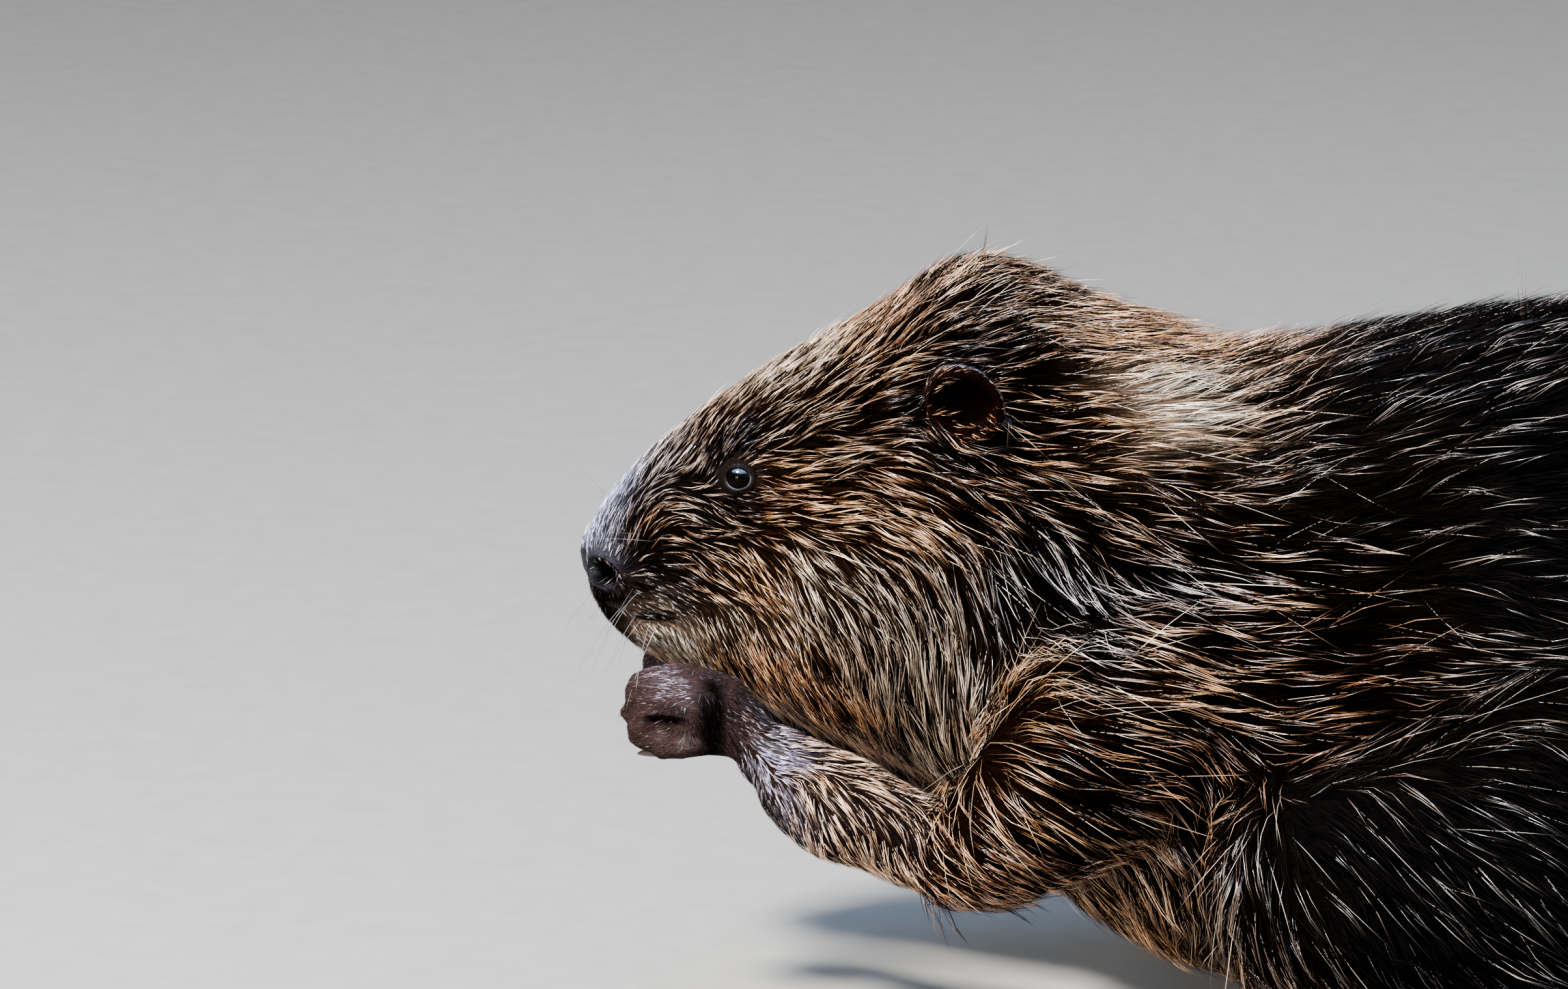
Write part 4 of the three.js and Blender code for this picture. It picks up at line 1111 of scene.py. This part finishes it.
LOOSE = 0.08  # share of strands that do not join the tip of their lock
GLOSSY_FROM = 0.0052  # shorter hair is matt
ODD_STRAND = 0.35  # share of strands that do not take the tint of their lock
PALE_SHARE = 0.80
FEW_HIGHLIGHTS = 3.6  # the higher, the fewer locks get a painted highlight
BAND_MM, BAND_WAVER, BAND_FROM = 4.6, 3, 0.009  # bands of painted highlight, the sheen of the wet locks, run down across the forearm's longer hair
LOCK_HALF_WIDTH = 0.085  # at the root, in shares of the length
ROOT_SCATTER = (-0.30, 0.24)
LOOSE_TIP, HELD_TIP = 0.10, 0.014
THICK_LEAST, THICK_OF_LENGTH = 0.00007, 0.0036
ROOT_SINK = 0.0008  # how deep a strand is rooted in the skin
ABOVE_FLOOR = 0.0006
STRAND_SHAPE = {4: (0.8, 1.0, 0.66), 3: (0.85, 0.9), 2: (1.1,)}  # thickness along it, by its number of stations
STRAND_FADE = {4: (0.04, 0.40, 0.95), 3: (0.06, 0.75), 2: (0.25,)}  # brightness along it: dark at the root, partly the hair's own colour and partly painted shade deep in the coat
# the tip is brighter than the rest: partly the hair's own pale tip and partly painted highlight
TIP_FADE = 1.15
BAKE_PATCH = 0.003  # size on the unwrap of the patch that each lock is baked in
lock_tone = rng.uniform(0.65, 1.2, lock_count)
lock_share = lock_share * PALE_SHARE
lock_is_pale = rng.random(lock_count) < lock_share
# painted highlight: a few locks are made brighter and paler, as if catching the light
lock_highlight = rng.random(lock_count) ** FEW_HIGHLIGHTS
# on the forearm the painted highlight comes in bands
band = np.cos((roots[:, 0] - NOSE_TIP) * 1000 / BAND_MM * 2 * math.pi + drift_at(roots) * BAND_WAVER)
on_arm = (root_kinds == HAND) & (lock_length > BAND_FROM)
lock_highlight[on_arm] = np.clip(0.35 + 0.6 * band[on_arm], 0, 1)
lock_is_pale[on_arm] = rng.random(on_arm.sum()) < 0.45 + 0.5 * band[on_arm]
lock_lift = rng.uniform(0.55, 1.15, lock_count)


def strands_of(locks, stations, per_lock):
    """All strands of some locks, as places, triangles, colours and bake places."""
    lock = np.repeat(locks, per_lock)
    count = len(lock)
    size = lock_length[lock]
    number = np.tile(np.arange(per_lock), len(locks))
    across = (number + rng.uniform(0.1, 0.9, count)) / per_lock * 2 - 1
    across = across * size * LOCK_HALF_WIDTH
    behind = rng.uniform(*ROOT_SCATTER, count) * size
    reach = rng.uniform(0.82, 1.08, count)
    loose = rng.random(count) < LOOSE
    is_pale = np.where(rng.random(count) < ODD_STRAND, rng.random(count) < lock_share[lock], lock_is_pale[lock])
    tip_aside = np.where(loose, rng.normal(0, LOOSE_TIP, count), rng.normal(0, HELD_TIP, count)) * size
    lift = lock_lift[lock] * rng.uniform(0.85, 1.1, count)
    lift = lift * np.where(loose, 1.2, 1.0) * np.where(is_pale, 1.08, 0.88)
    height = lock_depth[lock] * 1.1 * lift
    thick = THICK_LEAST + THICK_OF_LENGTH * size
    thick = thick * rng.uniform(0.7, 1.25, count) * np.where(is_pale, 0.95, 1.05)
    paths, sides, ups = [], [], []
    for t in stations:
        here = t * reach
        place = along_guide(guide, lock, here)
        normal = along_guide(guide_normals, lock, here)
        side = along_guide(guide_sides, lock, here)
        comb_here = along_guide(guide_combs, lock, here)
        gather = (1 - t) ** 1.25
        rise = -ROOT_SINK + (height + ROOT_SINK) * (1 - (1 - t) ** 1.7)
        place = place + side * (across * gather + tip_aside * t)[:, None]
        place = place + comb_here * (behind * gather)[:, None] + normal * rise[:, None]
        paths.append(place)
        sides.append(side)
        ups.append(normal)
    paths, sides, ups = (np.stack(part, axis=1) for part in (paths, sides, ups))
    paths[:, :, 2] = np.maximum(paths[:, :, 2], ABOVE_FLOOR)
    shape = np.array(STRAND_SHAPE[len(stations)])
    points, faces = strand_arrays(paths, thick[:, None] * shape[None], sides, ups)
    # painted highlight: a lit lock's pale strands are brighter and paler
    glow = (0.78 * lock_highlight[lock] + 0.22 * rng.random(count) ** 2)[:, None]
    least = (0.03 + 0.48 * lock_share[lock] ** 2)[:, None]
    lit = lock_pale[lock] ** (2.1 - 1.1 * glow) * (least + (1 - least) * glow)
    colour = np.where(is_pale[:, None], lit, lock_dark[lock])
    colour = colour * (lock_tone[lock] * rng.uniform(0.7, 1.2, count))[:, None]
    fade = np.append(np.repeat(STRAND_FADE[len(stations)], 3), TIP_FADE)
    colours = np.minimum(colour[:, None] * fade[None, :, None], 1)
    patch = np.empty((count, points.shape[1], 2))
    columns = ((number + 0.5) / per_lock - 0.5)[:, None]
    ring_side = np.append(np.tile((0.0, -1.0, 1.0), len(stations) - 1), 0.0)
    patch[:, :, 0] = root_uv[lock, 0][:, None] + BAKE_PATCH * (columns + ring_side[None] * 0.05)
    lengthwise = np.append(np.repeat(stations[:-1], 3), 1.0) - 0.5
    patch[:, :, 1] = root_uv[lock, 1][:, None] + BAKE_PATCH * lengthwise[None]
    glossy = np.repeat(is_pale & (size > GLOSSY_FROM), len(faces) // count)
    return points.reshape(-1, 3), faces, colours.reshape(-1, 3), patch.reshape(-1, 2), glossy


HAIR_GRAIN = (9000, 500, 1)  # fineness across and along a strand
HAIR_CONTRAST = 1.6


def hair_finish(name, roughness, gloss):
    """Hair whose strands each show two or three hairs side by side, from fine lines that run along them."""
    made = Finish(name, roughness=roughness, specular_ior_level=gloss)
    bake_place = made.node("ShaderNodeUVMap", {"uv_map": "OFBake"})
    hair_place = made.node("ShaderNodeVectorMath", {"operation": "MULTIPLY"}, {0: bake_place, 1: HAIR_GRAIN})
    hairs = made.noise(1.0, 2, 0.6, hair_place)
    made.drive(
        base_color=made.shaded(made.marking(), hairs * HAIR_CONTRAST + (1 - HAIR_CONTRAST / 2)),
        roughness=hairs * 0.2 + (roughness - 0.1),
        normal=made.bump(hairs, 0.35, 0.0003),
    )
    return made.material


UNDER_COAT = hair_finish("under_coat", 0.55, 0.0)
GUARD_HAIR = hair_finish("guard_hair", 0.26, 1.0)
distance = roots[:, 0] - NOSE_TIP
left = roots[:, 1] < 0
legs = np.isin(root_kinds, (HAND, FOOT))
trunk = ~legs & (root_kinds != EAR)
COAT_LENGTHS = [  # each length of the trunk's coat: where it starts and ends behind the nose, strands in a lock
    ("coat_face", -1, 0.075, 4),
    ("coat_cheek", 0.075, 0.150, 5),
    ("coat_shoulder", 0.150, 0.235, 5),
    ("coat_flank", 0.235, 0.36, 4),
    ("coat_haunch", 0.36, 0.50, 4),
]
COAT_PIECES = {}  # the locks of each piece, and the strands in a lock
for name, start, end, per_lock in COAT_LENGTHS:
    length_here = trunk & (distance >= start) & (distance < end)
    COAT_PIECES[name + "_left"] = (length_here & left, per_lock)
    COAT_PIECES[name + "_right"] = (length_here & ~left, per_lock)
COAT_PIECES["coat_rump"] = (trunk & (distance >= COAT_LENGTHS[-1][2]), 4)
COAT_PIECES["coat_foreleg_left"] = ((root_kinds == HAND) & left, 4)
COAT_PIECES["coat_foreleg_right"] = ((root_kinds == HAND) & ~left, 4)
COAT_PIECES["coat_hindfeet"] = (root_kinds == FOOT, 3)
COAT_PIECES["coat_ears"] = (root_kinds == EAR, 6)
PLAIN_FROM = 0.24  # behind this the strands are simpler
for name, (mine, per_lock) in COAT_PIECES.items():
    locks = np.flatnonzero(mine & ~in_the_way)
    fine = (lock_length[locks] >= LONG_FROM) & (distance[locks] < PLAIN_FROM)
    tiny = lock_length[locks] < TINY_UNTIL
    sorts = ((locks[fine], LONG_STATIONS), (locks[~fine & ~tiny], SHORT_STATIONS), (locks[tiny], TINY_STATIONS))
    parts = [strands_of(some, stations, per_lock) for some, stations in sorts if len(some)]
    firsts = np.cumsum([0] + [len(part[0]) for part in parts])
    faces = np.concatenate([part[1] + first for part, first in zip(parts, firsts)])
    points, colours, patches, glossy = (np.concatenate([part[i] for part in parts]) for i in (0, 2, 3, 4))
    piece = mesh_piece(name, points, faces, colours, patches)
    piece.data.materials.append(UNDER_COAT)
    piece.data.materials.append(GUARD_HAIR)
    piece.data.polygons.foreach_set("material_index", glossy.astype(np.int32))
    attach(piece, "root")

# ---------------------------------------------------------------- stray guard hairs
# A few long fine hairs stand clear of the locks, most of all on the crown and the nape.
STRAY_HAIRS = 1100
STRAY_STATIONS = np.linspace(0, 1, 4)
STRAY_PLACES = (0.04, 0.10, 0.13, 0.17, 0.28, 0.45)  # behind the tip of the nose
STRAY_LIKELY = (0.1, 0.5, 1.7, 1.3, 0.4, 0.15)
STRAY_THICK, STRAY_PATCH = 0.00011, 0.0012
rng = np.random.default_rng(3)
likely = np.interp(distance, STRAY_PLACES, STRAY_LIKELY) * ~in_the_way
likely *= np.clip(root_normals[:, 2] + 0.35, 0.05, 1.2) * trunk
hair = rng.choice(lock_count, size=STRAY_HAIRS, p=likely / likely.sum(), replace=False)
long = lock_length[hair] * rng.uniform(0.8, 1.45, STRAY_HAIRS)
lean_out = rng.uniform(0.12, 0.55, STRAY_HAIRS)
heading = guide_combs[hair, 0] + guide_normals[hair, 0] * lean_out[:, None]
heading = unit(heading + guide_sides[hair, 0] * rng.normal(0, 0.3, STRAY_HAIRS)[:, None])
bend = guide_combs[hair, 0] * 0.35 - guide_normals[hair, 0] * 0.12
paths = np.stack(
    [roots[hair] + heading * (long * t)[:, None] + bend * (long * t * t)[:, None] for t in STRAY_STATIONS], axis=1
)
paths[:, :, 2] = np.maximum(paths[:, :, 2], ABOVE_FLOOR)
headings = unit(np.gradient(paths, axis=1) + 1e-9)
asides = unit(np.cross(guide_normals[hair, 0][:, None], headings))
taper = STRAY_THICK * rng.uniform(0.7, 1.3, STRAY_HAIRS)[:, None] * np.array((1.0, 0.9, 0.65))[None]
points, faces = strand_arrays(paths, taper, asides, np.cross(headings, asides))
tone = lock_pale[hair] * rng.uniform(0.2, 0.8, STRAY_HAIRS)[:, None]
# dark at the root: partly the hair's own colour and partly painted shade deep in the coat
fade = np.append(np.repeat(np.array((0.2, 0.8, 1.0)), 3), 1.0)
colours = np.minimum(tone[:, None] * fade[None, :, None], 1)
patch = np.empty((STRAY_HAIRS, points.shape[1], 2))
ring_side = np.append(np.tile((0.0, -1.0, 1.0), 3), 0.0)
lengthwise = np.append(np.repeat(STRAY_STATIONS[:-1], 3), 1.0) - 0.5
patch[:, :, 0] = root_uv[hair, 0][:, None] + STRAY_PATCH * ring_side[None]
patch[:, :, 1] = root_uv[hair, 1][:, None] + BAKE_PATCH * lengthwise[None]
points, colours, patch = points.reshape(-1, 3), colours.reshape(-1, 3), patch.reshape(-1, 2)
stray_hairs = mesh_piece("coat_stray_hairs", points, faces, colours, patch)
stray_hairs.data.materials.append(GUARD_HAIR)
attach(stray_hairs, "root")

# ---------------------------------------------------------------- the whiskers
# Stiff black-brown bristles from the pads beside the nose and from the lip, which stand forward and out and sag
# a little. Each is one bent, tapering bristle.
WHISKER_ROOTS = [  # row on the pad: mm behind the nose, height in mm, how far its whiskers point up from forward
    (20.5, 168, 33),
    (27.0, 171, 19),
    (23.0, 153.5, -38),
    (19.0, 148, -44),
    (25.0, 146, -54),
    (29.0, 143, -64),
]
WHISKERS_IN_ROW, WHISKER_STEP = 2, 3.2
WHISKER_LENGTHS = (0.028, 0.050)
WHISKER_STATIONS = np.linspace(0, 1, 7)
rng = np.random.default_rng(5)
whisker_paths, whisker_thick = [], []
for side in (-1, 1):
    for along, up, rise_angle in WHISKER_ROOTS:
        for k in range(WHISKERS_IN_ROW):
            from_tip = along + WHISKER_STEP * (k - 1) + rng.normal(0, 0.5)
            start = Vector((NOSE_TIP + from_tip / 1000, side * 0.05, (up + rng.normal(0, 1)) / 1000))
            hit, _, _, _ = hide_tree.ray_cast(start, Vector((0, -side, 0)))
            if hit is None:
                continue
            angle = math.radians(rise_angle + rng.normal(0, 7))
            outward = rng.uniform(0.35, 1.1)
            heading = Vector((-math.cos(angle), side * outward, math.sin(angle))).normalized()
            long = rng.uniform(*WHISKER_LENGTHS)
            sag = Vector((0.10, 0, -0.12)) * long
            root = hit - heading * 0.001
            whisker_paths.append([root + heading * (long * t) + sag * (t * t) for t in WHISKER_STATIONS])
            whisker_thick.append(rng.uniform(0.75, 1.25))
whisker_paths = np.array(whisker_paths)
whisker_count = len(whisker_paths)
headings = unit(np.gradient(whisker_paths, axis=1))
asides = unit(np.cross(headings, (0.0, 0.0, 1.0)))
taper = np.linspace(0.00012, 0.00005, 6)[None] * np.array(whisker_thick)[:, None]
points, faces = strand_arrays(whisker_paths, taper, asides, np.cross(asides, headings))
per_whisker = points.shape[1]
tones = np.repeat(rng.uniform(0.5, 1.5, whisker_count), per_whisker)[:, None] * np.array((0.065, 0.06, 0.058))
spots = np.repeat(np.linspace(0.05, 0.95, whisker_count), per_whisker)
whisker_uv = np.stack([spots, np.tile(np.linspace(0, 0.1, per_whisker), whisker_count)], axis=1)
whiskers = mesh_piece("whiskers", points.reshape(-1, 3), faces, tones, whisker_uv)
bristle = Finish("whisker", roughness=0.25, specular_ior_level=0.6)
bristle.drive(base_color=bristle.shaded(bristle.marking(), bristle.noise(600, 2) * 0.8 + 0.6))
whiskers.data.materials.append(bristle.material)
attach(whiskers, "root")

# ---------------------------------------------------------------- floor, light and camera
# A plain pale studio floor, soft lamps and a long lens. The lamps are large flat panels, and a dim even sky
# fills what they leave.
FLOOR_SIZE = 16
WORLD_COLOUR, WORLD_LIGHT = (0.80, 0.87, 0.95, 1), 0.18
floor_finish = Finish("floor", roughness=0.75)
speckle = floor_finish.noise(60, 4)
floor_finish.drive(
    base_color=floor_finish.node(
        "ShaderNodeValToRGB", {"stops": [(0.3, (0.106, 0.104, 0.100)), (0.7, (0.120, 0.118, 0.114))]}, {0: speckle}
    )
)
bpy.ops.mesh.primitive_plane_add(size=FLOOR_SIZE, location=(0, 0, 0))
floor = bpy.context.object
floor.name = floor.data.name = "floor"
floor.data.materials.append(floor_finish.material)


def soft_light(name, place, target, size, power, colour):
    lamp = bpy.data.lights.new(name, "AREA")
    lamp.shape = "RECTANGLE"
    lamp.size, lamp.size_y = size
    lamp.energy = power
    lamp.color = colour
    holder = bpy.data.objects.new(name, lamp)
    holder.location = place
    holder.rotation_euler = (Vector(target) - Vector(place)).to_track_quat("-Z", "Y").to_euler()
    bpy.context.scene.collection.objects.link(holder)


soft_light("key", (-1.5, -1.5, 2.3), (-0.25, 0, 0.12), (0.5, 0.5), 1090, (1.0, 0.955, 0.89))
soft_light("sky", (-0.4, -0.45, 1.7), (-0.35, 0, 0.1), (4.4, 2.4), 150, (0.30, 0.56, 1.0))
soft_light("blue", (-0.8, -2.7, 2.0), (-0.3, 0, 0.12), (2.6, 1.3), 90, (0.36, 0.62, 1.0))
soft_light("low", (-1.5, -2.0, 0.55), (-0.35, 0, 0.10), (0.8, 0.6), 140, (1.0, 0.96, 0.91))
soft_light("side", (1.6, -1.8, 1.0), (0.1, 0, 0.1), (1.2, 0.9), 22, (1.0, 1.0, 1.0))
soft_light("back", (0.6, 2.2, 1.4), (0, 0, 0.1), (1.6, 1.2), 14, (0.95, 0.97, 1.0))
world = bpy.data.worlds.new("studio")
world.use_nodes = True
world.node_tree.nodes["Background"].inputs["Color"].default_value = WORLD_COLOUR
world.node_tree.nodes["Background"].inputs["Strength"].default_value = WORLD_LIGHT
bpy.context.scene.world = world

VIEW_DOWN = 12  # degrees
LENS_MM, SENSOR_MM = 197.34, 36
CAMERA_PLACE = (-0.39381, -2.93111, 0.80441)
lens = bpy.data.cameras.new("camera")
lens.lens = LENS_MM
lens.sensor_width = SENSOR_MM
camera = bpy.data.objects.new("camera", lens)
camera.location = CAMERA_PLACE
camera.rotation_euler = (math.radians(90 - VIEW_DOWN), 0, 0)
bpy.context.scene.collection.objects.link(camera)
bpy.context.scene.camera = camera
